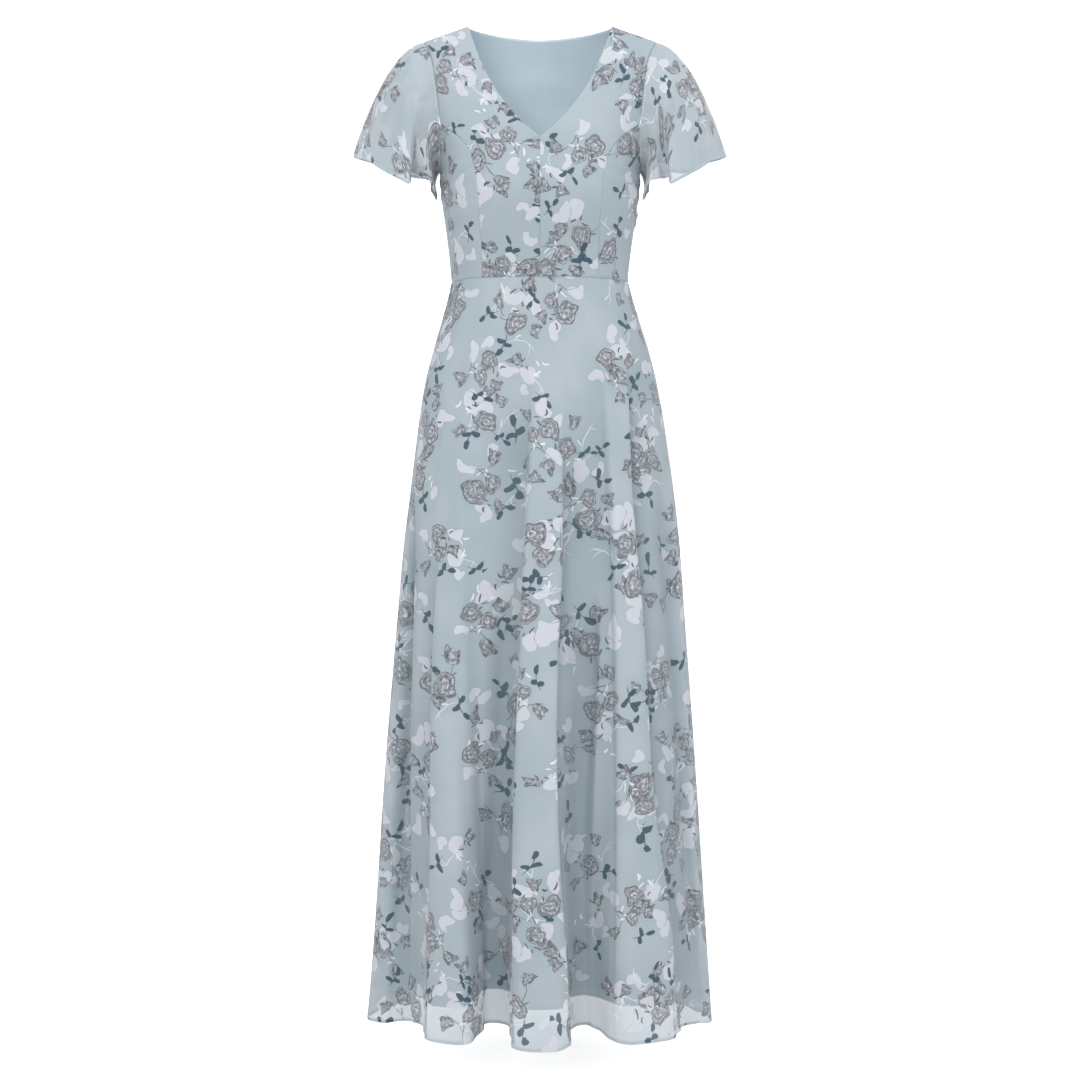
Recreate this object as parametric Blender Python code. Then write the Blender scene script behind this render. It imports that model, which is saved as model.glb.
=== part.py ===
"""Maxi dress with a V neck, flutter sleeves and a lined, fluted skirt, worn by nobody but keeping its form.

The front faces -Y, the wearer's left is +X and up is +Z. The origin lies midway between the high
points of the two shoulders, where the wearer carries the dress.

Every piece of cloth is a grid of points on one of three surfaces (torso, skirt, sleeve), lofted to a
second grid inside it along the surface's own normals, so that neighbouring pieces meet squarely at
their seams. An angle round the dress is 0 at the centre front, 90 degrees at the wearer's left side
and 180 degrees at the centre back.
"""

import math

import bmesh
import bpy
import numpy as np
from mathutils import Matrix, Vector

# Cloth
CHIFFON_WALL = 0.0011
LINING_WALL = 0.0010
SEAM_GAP = 0.0003
LINING_GAP = 0.0005
LINING_GAP_BELOW = 0.0040
LINING_GAP_FULL_Z = -0.50
LINING_CREST_GAP = 0.0080
WELD_DISTANCE = 0.00002
EDGE_ANGLE = 50.0

# Torso
SQUARENESS = 2.2
SIDE_SEAM_ANGLE = 97.0
WAIST_FRONT_Z = -0.3722
WAIST_SIDE_Z = -0.3780
UNDERARM_Z = -0.2130
SHOULDER_SLOPE = 0.345
CHEST_FLATTENING = 0.22
BACK_ROUNDNESS = 2.6
NECK_HALF_WIDTH = 0.1064
SHOULDER_HALF_WIDTH = 0.1727
CUP_FULLNESS = 0.009
CUP_X = 0.074
CUP_Z = -0.252
CUP_SPREAD = 0.052

# Cross-sections from the waist up. Above the underarm the depths fall to nothing at the shoulder line.
TORSO_COLUMNS = ("z", "half_width", "front", "back")
TORSO = (
    (-0.400, 0.1330, 0.0985, 0.0905),
    (-0.375, 0.1318, 0.0985, 0.0905),
    (-0.345, 0.1343, 0.1050, 0.0935),
    (-0.310, 0.1386, 0.1150, 0.0980),
    (-0.280, 0.1428, 0.1235, 0.1020),
    (-0.250, 0.1474, 0.1280, 0.1050),
    (-0.213, 0.1500, 0.1270, 0.1070),
    (-0.180, 0.1570, 0.1250, 0.1080),
    (-0.140, 0.1680, 0.1220, 0.1080),
    (-0.100, 0.1760, 0.1200, 0.1080),
    (-0.050, 0.1840, 0.1180, 0.1080),
    (0.000, 0.1900, 0.1180, 0.1080),
    (0.040, 0.1930, 0.1180, 0.1080),
)

# The V neck's edge as seen from the front, from its point to the shoulder.
NECK_FRONT_COLUMNS = ("x", "z")
NECK_FRONT = (
    (0.0000, -0.1735),
    (0.0268, -0.1500),
    (0.0485, -0.1250),
    (0.0690, -0.0950),
    (0.0815, -0.0690),
    (0.0930, -0.0420),
    (NECK_HALF_WIDTH, 0.0),
)
NECK_BACK_Z = -0.0094

# The princess seam from the waist to the armhole.
PRINCESS_COLUMNS = ("x", "z")
PRINCESS = (
    (0.0850, -0.3740),
    (0.0862, -0.3150),
    (0.0900, -0.2620),
    (0.0940, -0.2240),
    (0.1010, -0.1960),
    (0.1160, -0.1730),
    (0.1468, -0.1480),
)

# The armhole from under the arm to the shoulder, as the angle of its front and of its back edge.
ARMHOLE_COLUMNS = ("z", "front_angle", "back_angle")
ARMHOLE = (
    (UNDERARM_Z, SIDE_SEAM_ANGLE, SIDE_SEAM_ANGLE),
    (-0.2090, 86.0, 106.0),
    (-0.1960, 76.0, 112.0),
    (-0.1750, 67.5, 115.5),
    (-0.1480, 61.0, 117.0),
    (-0.1000, 58.0, 118.0),
    (-0.0600, 58.5, 118.0),
    (-0.0400, 61.0, 116.5),
    (-0.0232, 66.2, 113.8),
)
ARMHOLE_SPLIT_ROW = 4

# The skirt's envelope from the waist down: the rings that its flutes reach but don't pass.
SKIRT_COLUMNS = ("z", "half_width", "front", "back")
SKIRT = (
    (-0.360, 0.1312, 0.0985, 0.0905),
    (-0.375, 0.1318, 0.0985, 0.0905),
    (-0.400, 0.1372, 0.1010, 0.0960),
    (-0.430, 0.1462, 0.1050, 0.1040),
    (-0.462, 0.1562, 0.1100, 0.1130),
    (-0.500, 0.1672, 0.1160, 0.1220),
    (-0.570, 0.1822, 0.1250, 0.1340),
    (-0.642, 0.1936, 0.1330, 0.1430),
    (-0.750, 0.2062, 0.1420, 0.1530),
    (-0.900, 0.2184, 0.1530, 0.1640),
    (-1.050, 0.2302, 0.1630, 0.1740),
    (-1.200, 0.2412, 0.1720, 0.1830),
    (-1.350, 0.2518, 0.1800, 0.1910),
    (-1.500, 0.2626, 0.1880, 0.1990),
)
SKIRT_HEM_Z = -1.500
FLUTE_GROWTH = 1.1

# One row for each crest and valley of the flutes, round the hem from the centre front by way of the
# wearer's left. waist_angle is where its line meets the waist, x and y its place at the hem, hem_z the
# height of the edge there, lining_z that of the lining's edge, start_z where the fold begins and
# round how broad its turn is, as a multiple of the distance to the next row.
FLUTE_COLUMNS = ("waist_angle", "x", "y", "hem_z", "lining_z", "start_z", "round")
FLUTES = (
    (2.0, 0.003, -0.186, -1.4920, -1.434, -0.50, 4.0),
    (19.0, 0.066, -0.092, -1.4800, -1.436, -0.46, 2.2),
    (38.0, 0.142, -0.152, -1.4910, -1.438, -0.47, 3.8),
    (60.0, 0.219, -0.056, -1.4930, -1.455, -0.52, 2.0),
    (97.0, 0.262, 0.012, -1.5010, -1.474, -0.50, 2.6),
    (115.0, 0.206, 0.074, -1.4900, -1.452, -0.50, 1.8),
    (131.0, 0.166, 0.146, -1.4960, -1.444, -0.52, 3.6),
    (148.0, 0.102, 0.098, -1.4840, -1.440, -0.56, 2.2),
    (162.0, 0.062, 0.192, -1.4980, -1.442, -0.50, 3.6),
    (177.0, 0.004, 0.108, -1.4840, -1.440, -0.54, 2.4),
    (194.0, -0.062, 0.196, -1.4980, -1.443, -0.55, 3.8),
    (212.0, -0.108, 0.096, -1.4850, -1.440, -0.52, 2.2),
    (230.0, -0.170, 0.140, -1.4970, -1.445, -0.50, 3.4),
    (247.0, -0.206, 0.070, -1.4890, -1.452, -0.55, 1.8),
    (263.0, -0.262, 0.012, -1.5000, -1.462, -0.50, 2.8),
    (299.0, -0.182, -0.050, -1.4910, -1.452, -0.50, 2.0),
    (318.0, -0.131, -0.152, -1.4910, -1.441, -0.48, 4.0),
    (338.0, -0.067, -0.090, -1.4780, -1.428, -0.46, 2.4),
)
LEFT_SIDE_ROW = 4
RIGHT_SIDE_ROW = 14
STEPS_PER_FLUTE_SIDE = 6

# The hem of the wearer's left sleeve, one row for each crest and valley from its outer tip by way of
# the back, under the arm and the front.
SLEEVE_HEM_COLUMNS = ("x", "y", "z", "round")
SLEEVE_HEM = (
    (0.2780, 0.004, -0.1910, 2.2),
    (0.2520, 0.052, -0.2010, 1.6),
    (0.2220, 0.100, -0.2120, 3.0),
    (0.1960, 0.058, -0.2150, 1.6),
    (0.1780, 0.086, -0.2180, 2.6),
    (0.1620, 0.034, -0.2360, 1.6),
    (0.1580, 0.002, -0.2490, 1.4),
    (0.1560, -0.032, -0.2420, 1.2),
    (0.1640, -0.064, -0.2230, 1.8),
    (0.1820, -0.056, -0.2240, 1.6),
    (0.2050, -0.102, -0.2310, 3.4),
    (0.2520, -0.052, -0.2070, 1.6),
)
SLEEVE_STEPS = 4
SLEEVE_SPRING = 0.30
SLEEVE_SIDE_SPRING = 0.7
SLEEVE_DROP = 0.30
SLEEVE_ROWS = (0.0, 0.12, 0.30, 0.52, 0.76, 1.0)

# Concealed zip in the wearer's left side seam
ZIP_TOP_Z = -0.2700
ZIP_BOTTOM_Z = -0.5600
ZIP_SEAM_GAP = 0.0010
ZIP_TAPE_HALF_WIDTH = 0.0045
ZIP_TAPE_WALL = 0.0012
ZIP_TAPE_GAP = 0.0014
ZIP_LINING_CLEARANCE = 0.0052
ZIP_LINING_TOP_Z = -0.2300
ZIP_LINING_END_Z = -0.5800
SLIDER_LENGTH = 0.0090
SLIDER_WIDTH = 0.0070
SLIDER_PLATE = 0.0010
SLIDER_NECK = 0.0004
SLIDER_INNER_GAP = 0.0009
BRIDGE_WIDTH = 0.0016
BRIDGE_LENGTH = 0.0074
BRIDGE_HEIGHT = 0.0028
BRIDGE_CLEAR = 0.0020
PULL_BAR = 0.0011
PULL_AXIS_HEIGHT = 0.0010
PULL_LENGTH = 0.0200
PULL_WIDTH = 0.0076
PULL_NECK_WIDTH = 0.0060
PULL_WINDOW_WIDTH = 0.0032
PULL_WINDOW_END = 0.0052

# Colours (linear) of each cloth and of the zip's enamel
CHIFFON_COLOUR = (0.40, 0.50, 0.56, 1.0)
LINING_COLOUR = (0.44, 0.54, 0.60, 1.0)
ZIP_COLOUR = (0.36, 0.46, 0.52, 1.0)


def column(table, names, name):
    """One named column of a table, as an array."""
    place = names.index(name)
    return np.array([row[place] for row in table], dtype=float)


def spline(at, knots, values):
    """A smooth curve through the values: cubic pieces whose slopes are those between the neighbours."""
    knots = np.asarray(knots, dtype=float)
    values = np.asarray(values, dtype=float)
    if knots[0] > knots[-1]:
        knots = knots[::-1]
        values = values[::-1]
    slopes = np.gradient(values, knots, axis=0)
    at = np.clip(at, knots[0], knots[-1])
    piece = np.clip(np.searchsorted(knots, at, side="right") - 1, 0, len(knots) - 2)
    span = knots[piece + 1] - knots[piece]
    t = (at - knots[piece]) / span
    if values.ndim > 1:
        t = t[..., None]
        span = span[..., None]
    start = values[piece] * (1 + 2 * t) * (1 - t) ** 2 + slopes[piece] * span * t * (1 - t) ** 2
    end = values[piece + 1] * (3 - 2 * t) * t**2 + slopes[piece + 1] * span * t**2 * (t - 1)
    return start + end


def ring(angle, half_width, front, back):
    """A point on a rounded ring: a superellipse that is deeper in front or behind as given."""
    sine = np.sin(np.radians(angle))
    cosine = np.cos(np.radians(angle))
    depth = np.where(cosine >= 0, front, back)
    x = half_width * np.sign(sine) * np.abs(sine) ** (2 / SQUARENESS)
    y = -depth * np.sign(cosine) * np.abs(cosine) ** (2 / SQUARENESS)
    return x, y


def angle_at(x, z):
    """The angle of the torso's front at a distance x from the middle."""
    half_width = spline(z, column(TORSO, TORSO_COLUMNS, "z"), column(TORSO, TORSO_COLUMNS, "half_width"))
    return np.degrees(np.arcsin(np.clip(x / half_width, 0, 1) ** (SQUARENESS / 2)))


def torso(angle, z):
    """The outside of the bodice: rings that above the underarm close onto the sloping shoulder line.

    The chest flattens as it rises to the shoulders, and the back stays rounder.
    """
    heights = column(TORSO, TORSO_COLUMNS, "z")
    half_width = spline(z, heights, column(TORSO, TORSO_COLUMNS, "half_width"))
    front = spline(z, heights, column(TORSO, TORSO_COLUMNS, "front"))
    back = spline(z, heights, column(TORSO, TORSO_COLUMNS, "back"))
    x = ring(angle, half_width, front, back)[0]
    shoulder_z = SHOULDER_SLOPE * (NECK_HALF_WIDTH - np.abs(x))
    rise = np.clip((z - UNDERARM_Z) / (shoulder_z - UNDERARM_Z), 0, 1)
    front = front * np.sqrt(1 - rise**2) * (1 - CHEST_FLATTENING * rise)
    back = back * np.sqrt(1 - rise**BACK_ROUNDNESS)
    y = ring(angle, half_width, front, back)[1]
    cup = np.exp(-(((np.abs(x) - CUP_X) / CUP_SPREAD) ** 2) - ((z - CUP_Z) / CUP_SPREAD) ** 2)
    y = y - CUP_FULLNESS * cup * np.clip(np.cos(np.radians(angle)), 0, 1)
    return np.stack([x, y, z + 0 * x], axis=-1)


def surface_normal(surface, first, second):
    """The outward unit normal of a surface of two parameters, from small steps along each."""
    step_first = 0.05
    step_second = 0.00001
    along = surface(first + step_first, second) - surface(first - step_first, second)
    up = surface(first, second + step_second) - surface(first, second - step_second)
    normal = np.cross(along, up)
    return normal / np.maximum(np.linalg.norm(normal, axis=-1, keepdims=True), 1e-12)


def flute_column(name):
    """A column of the flute table with its first row repeated at the end, a full turn on."""
    values = column(FLUTES, FLUTE_COLUMNS, name)
    last = values[0] + (360 if name == "waist_angle" else 0)
    return np.append(values, last)


def eased(place, values):
    """Values between the flute table's rows, level at each row."""
    row = np.clip(np.floor(place).astype(int), 0, len(values) - 2)
    t = place - row
    ease = t * t * (3 - 2 * t)
    return values[row] * (1 - ease) + values[row + 1] * ease


def looped_curve(place, x, y, broad):
    """A closed curve seen from above through a table's crests and valleys, turning broadly at each."""
    points = np.stack([x, y], axis=-1)
    count = len(points)
    row = np.mod(np.floor(place).astype(int), count)
    following = np.mod(row + 1, count)
    t = (place - np.floor(place))[..., None]
    along = np.roll(points, -1, axis=0) - np.roll(points, 1, axis=0)
    along = along / np.linalg.norm(along, axis=-1, keepdims=True)
    reach = np.linalg.norm(points[following] - points[row], axis=-1, keepdims=True) * 0.5
    start = along[row] * reach * broad[row][..., None]
    end = along[following] * reach * broad[following][..., None]
    return (
        points[row] * (1 + 2 * t) * (1 - t) ** 2
        + start * t * (1 - t) ** 2
        + points[following] * (3 - 2 * t) * t**2
        + end * t**2 * (t - 1)
    )


def hem_ring(place):
    """The skirt's hem seen from above."""
    x = column(FLUTES, FLUTE_COLUMNS, "x")
    y = column(FLUTES, FLUTE_COLUMNS, "y")
    return looped_curve(place, x, y, column(FLUTES, FLUTE_COLUMNS, "round"))


def skirt(place, z):
    """The outside of the skirt: round rings at the hip that turn into the fluted ring of the hem.

    place counts along the flute table, with 0 at the centre front's crest.
    """
    rows = len(FLUTES)
    wrapped = np.mod(place, rows)
    angle = spline(wrapped, np.arange(rows + 1.0), flute_column("waist_angle"))
    heights = column(SKIRT, SKIRT_COLUMNS, "z")
    half_width = spline(z, heights, column(SKIRT, SKIRT_COLUMNS, "half_width"))
    front = spline(z, heights, column(SKIRT, SKIRT_COLUMNS, "front"))
    back = spline(z, heights, column(SKIRT, SKIRT_COLUMNS, "back"))
    x_round, y_round = ring(angle, half_width, front, back)
    hem = hem_ring(wrapped)
    hem_depth = np.where(hem[..., 1] < 0, SKIRT[-1][2], SKIRT[-1][3])
    depth = np.where(hem[..., 1] < 0, front, back)
    x_fluted = hem[..., 0] * half_width / SKIRT[-1][1]
    y_fluted = hem[..., 1] * depth / hem_depth
    start = eased(wrapped, flute_column("start_z"))
    grown = np.clip((start - z) / (start - SKIRT_HEM_Z), 0, 1.05) ** FLUTE_GROWTH
    x = x_round + (x_fluted - x_round) * grown
    y = y_round + (y_fluted - y_round) * grown
    return np.stack([x, y, z + 0 * x], axis=-1)


def skirt_normal(place, z):
    """The outward unit normal of the skirt, from small steps round it and up it."""
    step_place = 0.02
    step_z = 0.002
    along = skirt(place + step_place, z) - skirt(place - step_place, z)
    up = skirt(place, z + step_z) - skirt(place, z - step_z)
    normal = np.cross(along, up)
    return normal / np.linalg.norm(normal, axis=-1, keepdims=True)


def waist_z(angle):
    """The height of the waist seam, a little higher at the centre front."""
    middle = np.clip(np.cos(np.radians(angle)), 0, 1)
    return WAIST_SIDE_Z + (WAIST_FRONT_Z - WAIST_SIDE_Z) * middle


def coons(left, right, bottom, top):
    """A grid between four edges, each an array of (angle, z) points that meet at the corners."""
    u = np.linspace(0, 1, len(bottom))[None, :, None]
    v = np.linspace(0, 1, len(left))[:, None, None]
    across = left[:, None] * (1 - u) + right[:, None] * u
    upward = bottom[None] * (1 - v) + top[None] * v
    corners = (bottom[0] * (1 - u) + bottom[-1] * u) * (1 - v) + (top[0] * (1 - u) + top[-1] * u) * v
    return across + upward - corners


def stretch(start, end, steps):
    """Points evenly spaced from start to end."""
    t = np.linspace(0, 1, steps + 1)[:, None]
    return np.array(start) * (1 - t) + np.array(end) * t


def seen_curve(table, steps):
    """A table of front-view points (x, z) as evenly spaced (angle, z) points."""
    points = np.array(table)
    knots = np.arange(len(points), dtype=float)
    fine = spline(np.linspace(0, knots[-1], 200), knots, points)
    run = np.append(0, np.cumsum(np.linalg.norm(np.diff(fine, axis=0), axis=1)))
    even = np.linspace(0, run[-1], steps + 1)
    x = np.interp(even, run, fine[:, 0])
    z = np.interp(even, run, fine[:, 1])
    return np.stack([angle_at(x, z), z], axis=-1)


def armhole(side, first_row, last_row, steps):
    """Points along the armhole's front or back edge, between two rows of its table."""
    knots = np.arange(len(ARMHOLE), dtype=float)
    angles = column(ARMHOLE, ARMHOLE_COLUMNS, side + "_angle")
    heights = column(ARMHOLE, ARMHOLE_COLUMNS, "z")
    rows = np.linspace(first_row, last_row, steps + 1)
    return np.stack([spline(rows, knots, angles), spline(rows, knots, heights)], axis=-1)


def waist_run(first_angle, last_angle, steps):
    """Points along the waist seam."""
    angles = np.linspace(first_angle, last_angle, steps + 1)
    return np.stack([angles, waist_z(angles)], axis=-1)


def centre_front_grid():
    """The wearer's left centre front panel, from the centre front to the princess seam and armhole."""
    princess = seen_curve(PRINCESS, 7)
    above = armhole("front", ARMHOLE_SPLIT_ROW, len(ARMHOLE) - 1, 6)
    princess[-1] = above[0]
    princess[0, 1] = waist_z(princess[0, 0])
    neck = seen_curve(NECK_FRONT, 7)
    middle = stretch((0.0, WAIST_FRONT_Z), (0.0, NECK_FRONT[0][1]), 6)
    left = np.concatenate([middle, neck[1:]])
    right = np.concatenate([princess, above[1:]])
    bottom = waist_run(0.0, princess[0, 0], 5)
    shoulder_x = np.linspace(NECK_HALF_WIDTH, SHOULDER_HALF_WIDTH, 6)
    shoulder_z = SHOULDER_SLOPE * (NECK_HALF_WIDTH - shoulder_x)
    top = np.stack([angle_at(shoulder_x, shoulder_z), shoulder_z], axis=-1)
    left[-1] = top[0]
    right[-1] = top[-1]
    return coons(left, right, bottom, top)


def side_front_grid():
    """The wearer's left side front panel, from the princess seam to the side seam, up to the armhole."""
    above = armhole("front", 0, ARMHOLE_SPLIT_ROW, 5)[::-1]
    princess = seen_curve(PRINCESS, 7)
    princess[-1] = above[0]
    princess[0, 1] = waist_z(princess[0, 0])
    side = stretch((SIDE_SEAM_ANGLE, waist_z(SIDE_SEAM_ANGLE)), (SIDE_SEAM_ANGLE, UNDERARM_Z), 7)
    bottom = waist_run(princess[0, 0], SIDE_SEAM_ANGLE, 5)
    return coons(princess, side, bottom, above)


def back_grid():
    """The wearer's left half of the back, from the side seam to the centre back."""
    side = stretch((SIDE_SEAM_ANGLE, waist_z(SIDE_SEAM_ANGLE)), (SIDE_SEAM_ANGLE, UNDERARM_Z), 5)
    above = armhole("back", 0, len(ARMHOLE) - 1, 8)
    right = np.concatenate([side, above[1:]])
    middle = stretch((180.0, WAIST_SIDE_Z), (180.0, NECK_BACK_Z), 13)
    bottom = waist_run(SIDE_SEAM_ANGLE, 180.0, 8)
    shoulder_x = np.linspace(SHOULDER_HALF_WIDTH, NECK_HALF_WIDTH, 4)
    neck_x = NECK_HALF_WIDTH * np.cos(np.radians(np.linspace(0, 90, 6)))
    x = np.concatenate([shoulder_x, neck_x[1:]])
    z = SHOULDER_SLOPE * (NECK_HALF_WIDTH - x)
    neck_z = NECK_BACK_Z * np.clip(1 - (x / NECK_HALF_WIDTH) ** 2, 0, 1)
    z = np.where(x < NECK_HALF_WIDTH, neck_z, z)
    top = np.stack([180 - angle_at(x, z), z], axis=-1)
    right[-1] = top[0]
    middle[-1] = top[-1]
    return coons(right, middle, bottom, top)


def trimmed(points, gaps):
    """The grid with its edges drawn in by half a seam gap: left, right, bottom and top columns or rows."""
    points = points.copy()
    for take_edge, take_next, gap in (
        (np.s_[:, 0], np.s_[:, 1], gaps[0]),
        (np.s_[:, -1], np.s_[:, -2], gaps[1]),
        (np.s_[0, :], np.s_[1, :], gaps[2]),
        (np.s_[-1, :], np.s_[-2, :], gaps[3]),
    ):
        inward = points[take_next] - points[take_edge]
        inward = inward / np.linalg.norm(inward, axis=-1, keepdims=True)
        points[take_edge] += inward * np.asarray(gap)[..., None] / 2
    return points


def layers(points, normals, depth, wall, gaps):
    """The outer and the inner grid of a wall that lies a depth inside a surface."""
    depth = np.asarray(depth)[..., None]
    return trimmed(points - normals * depth, gaps), trimmed(points - normals * (depth + wall), gaps)


def on_torso(grid, depth, wall, gaps):
    """A wall on the torso over a grid of (angle, z)."""
    angle = grid[..., 0]
    z = grid[..., 1]
    return layers(torso(angle, z), surface_normal(torso, angle, z), depth, wall, gaps)


def mirrored(wall):
    """The same wall on the other side of the dress, its columns in reverse order to stay facing out."""
    return tuple(points[:, ::-1] * np.array([-1.0, 1.0, 1.0]) for points in wall)


def with_mirrored(wall):
    """A half that ends at the centre back, made whole."""
    return tuple(np.concatenate([half, other[:, 1:]], axis=1) for half, other in zip(wall, mirrored(wall)))


def cloth_material(name, colour, roughness, metallic=0.0):
    """A Principled material of one colour."""
    material = bpy.data.materials.new(name)
    material.use_nodes = True
    shader = material.node_tree.nodes["Principled BSDF"]
    shader.inputs["Base Color"].default_value = colour
    shader.inputs["Roughness"].default_value = roughness
    shader.inputs["Metallic"].default_value = metallic
    material.diffuse_color = colour
    return material


def cloth(name, patches, material, collection, closed=False):
    """A piece of cloth: outer grids joined where their edges meet, inner grids and the rim between them."""
    mesh = bmesh.new()
    inside = mesh.verts.layers.float_vector.new("inside")
    for outer, inner in patches:
        rows, columns = outer.shape[:2]
        verts = [[mesh.verts.new(point) for point in line] for line in outer]
        for line, inner_line in zip(verts, inner):
            for vert, point in zip(line, inner_line):
                vert[inside] = point
        for row in range(rows - 1):
            for place in range(columns if closed else columns - 1):
                beyond = (place + 1) % columns
                low = (verts[row][place], verts[row][beyond])
                high = (verts[row + 1][beyond], verts[row + 1][place])
                mesh.faces.new(low + high)
    bmesh.ops.remove_doubles(mesh, verts=mesh.verts, dist=WELD_DISTANCE)
    outer_faces = list(mesh.faces)
    rim_loops = [edge.link_loops[0] for edge in mesh.edges if edge.is_boundary]
    rims = [(loop.vert, loop.link_loop_next.vert) for loop in rim_loops]
    twins = {vert: mesh.verts.new(vert[inside]) for vert in list(mesh.verts)}
    for face in outer_faces:
        first, second, third, fourth = face.verts
        mesh.faces.new([twins[vert] for vert in (first, fourth, third, second)])
    for first, second in rims:
        mesh.faces.new((second, first, twins[first], twins[second]))
    data = bpy.data.meshes.new(name)
    mesh.to_mesh(data)
    mesh.free()
    data.shade_smooth()
    data.set_sharp_from_angle(angle=math.radians(EDGE_ANGLE))
    data.materials.append(material)
    item = bpy.data.objects.new(name, data)
    collection.objects.link(item)
    return item


def beside_zip(z):
    """The gap in the lining's side seam at a height: wide enough for the tape along the zip."""
    zipped = (z > ZIP_LINING_END_Z) & (z < ZIP_LINING_TOP_Z)
    return np.where(zipped, 2 * ZIP_LINING_CLEARANCE, SEAM_GAP)


def build_bodice(collection):
    """Four front panels, the back, and a whole front and back of lining just inside them."""
    chiffon = cloth_material("bodice_chiffon", CHIFFON_COLOUR, 0.75)
    lining = cloth_material("bodice_lining", LINING_COLOUR, 0.55)
    centre = centre_front_grid()
    side = side_front_grid()
    back = back_grid()
    gap = SEAM_GAP
    zip_gap = ZIP_SEAM_GAP
    wall = CHIFFON_WALL
    centre_left = on_torso(centre, 0.0, wall, (gap, gap, gap, gap))
    side_left = on_torso(side, 0.0, wall, (gap, zip_gap, gap, gap))
    side_right = mirrored(on_torso(side, 0.0, wall, (gap, gap, gap, gap)))
    cloth("bodice_centre_front_left", [centre_left], chiffon, collection)
    cloth("bodice_centre_front_right", [mirrored(centre_left)], chiffon, collection)
    cloth("bodice_side_front_left", [side_left], chiffon, collection)
    cloth("bodice_side_front_right", [side_right], chiffon, collection)
    whole = with_mirrored(on_torso(back, 0.0, wall, (0, 0, gap, gap)))
    whole = tuple(trimmed(points, (zip_gap, gap, 0, 0)) for points in whole)
    cloth("bodice_back", [whole], chiffon, collection)

    depth = CHIFFON_WALL + LINING_GAP
    wall = LINING_WALL
    lining_centre = on_torso(centre, depth, wall, (0, 0, gap, gap))
    lining_left = on_torso(side, depth, wall, (0, beside_zip(side[:, -1, 1]), gap, gap))
    lining_right = mirrored(on_torso(side, depth, wall, (0, gap, gap, gap)))
    patches = [lining_centre, lining_left, mirrored(lining_centre), lining_right]
    cloth("bodice_lining_front", patches, lining, collection)
    whole = with_mirrored(on_torso(back, depth, wall, (0, 0, gap, gap)))
    whole = tuple(trimmed(points, (beside_zip(back[:, 0, 1]), gap, 0, 0)) for points in whole)
    cloth("bodice_lining_back", [whole], lining, collection)


def skirt_grid(first_row, last_row, rows, top_gap, hem_name):
    """Places along the flute table and heights for one panel of the skirt, from the waist to its edge."""
    steps = (last_row - first_row) * STEPS_PER_FLUTE_SIDE
    place = np.linspace(first_row, last_row, steps + 1)
    wrapped = np.mod(place, len(FLUTES))
    angle = spline(wrapped, np.arange(len(FLUTES) + 1.0), flute_column("waist_angle"))
    top = waist_z(angle) - top_gap / 2
    hem = eased(wrapped, flute_column(hem_name))
    down = np.array(rows)[::-1, None]
    return place[None] + 0 * down, top[None] + (hem - top)[None] * down


def lining_depth(place, z):
    """How far the lining's outer face lies inside the chiffon's, more below the hip and at the crests."""
    top = WAIST_SIDE_Z
    below = np.clip((top - z) / (top - LINING_GAP_FULL_Z), 0, 1)
    low = np.clip((LINING_GAP_FULL_Z - z) / (LINING_GAP_FULL_Z - SKIRT_HEM_Z), 0, 1)
    crest = 0.5 + 0.5 * np.cos(np.pi * place)
    gap = LINING_GAP + (LINING_GAP_BELOW - LINING_GAP) * below
    return CHIFFON_WALL + gap + LINING_CREST_GAP * crest * low


def build_skirt(collection):
    """The chiffon skirt's front and back, and the shorter lining's front and back inside them."""
    chiffon = cloth_material("skirt_chiffon", CHIFFON_COLOUR, 0.75)
    lining = cloth_material("skirt_lining", LINING_COLOUR, 0.55)
    rows = (0.0, 0.03, 0.075, 0.14, 0.23, 0.37, 0.56, 0.78, 1.0)
    turn = len(FLUTES)
    panels = {
        "front": (RIGHT_SIDE_ROW - turn, LEFT_SIDE_ROW),
        "back": (LEFT_SIDE_ROW, RIGHT_SIDE_ROW),
    }
    for name, (first_row, last_row) in panels.items():
        place, z = skirt_grid(first_row, last_row, rows, SEAM_GAP, "hem_z")
        zipped = np.where(z > ZIP_BOTTOM_Z, ZIP_SEAM_GAP, SEAM_GAP)
        gaps = (SEAM_GAP, zipped[:, -1], 0, 0)
        if name == "back":
            gaps = (zipped[:, 0], SEAM_GAP, 0, 0)
        wall = layers(skirt(place, z), skirt_normal(place, z), 0.0, CHIFFON_WALL, gaps)
        cloth("skirt_" + name, [wall], chiffon, collection)

        place, z = skirt_grid(first_row, last_row, rows, SEAM_GAP, "lining_z")
        gaps = (SEAM_GAP, beside_zip(z[:, -1]), 0, 0)
        if name == "back":
            gaps = (beside_zip(z[:, 0]), SEAM_GAP, 0, 0)
        wall = layers(skirt(place, z), skirt_normal(place, z), lining_depth(place, z), LINING_WALL, gaps)
        cloth("skirt_lining_" + name, [wall], lining, collection)


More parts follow.
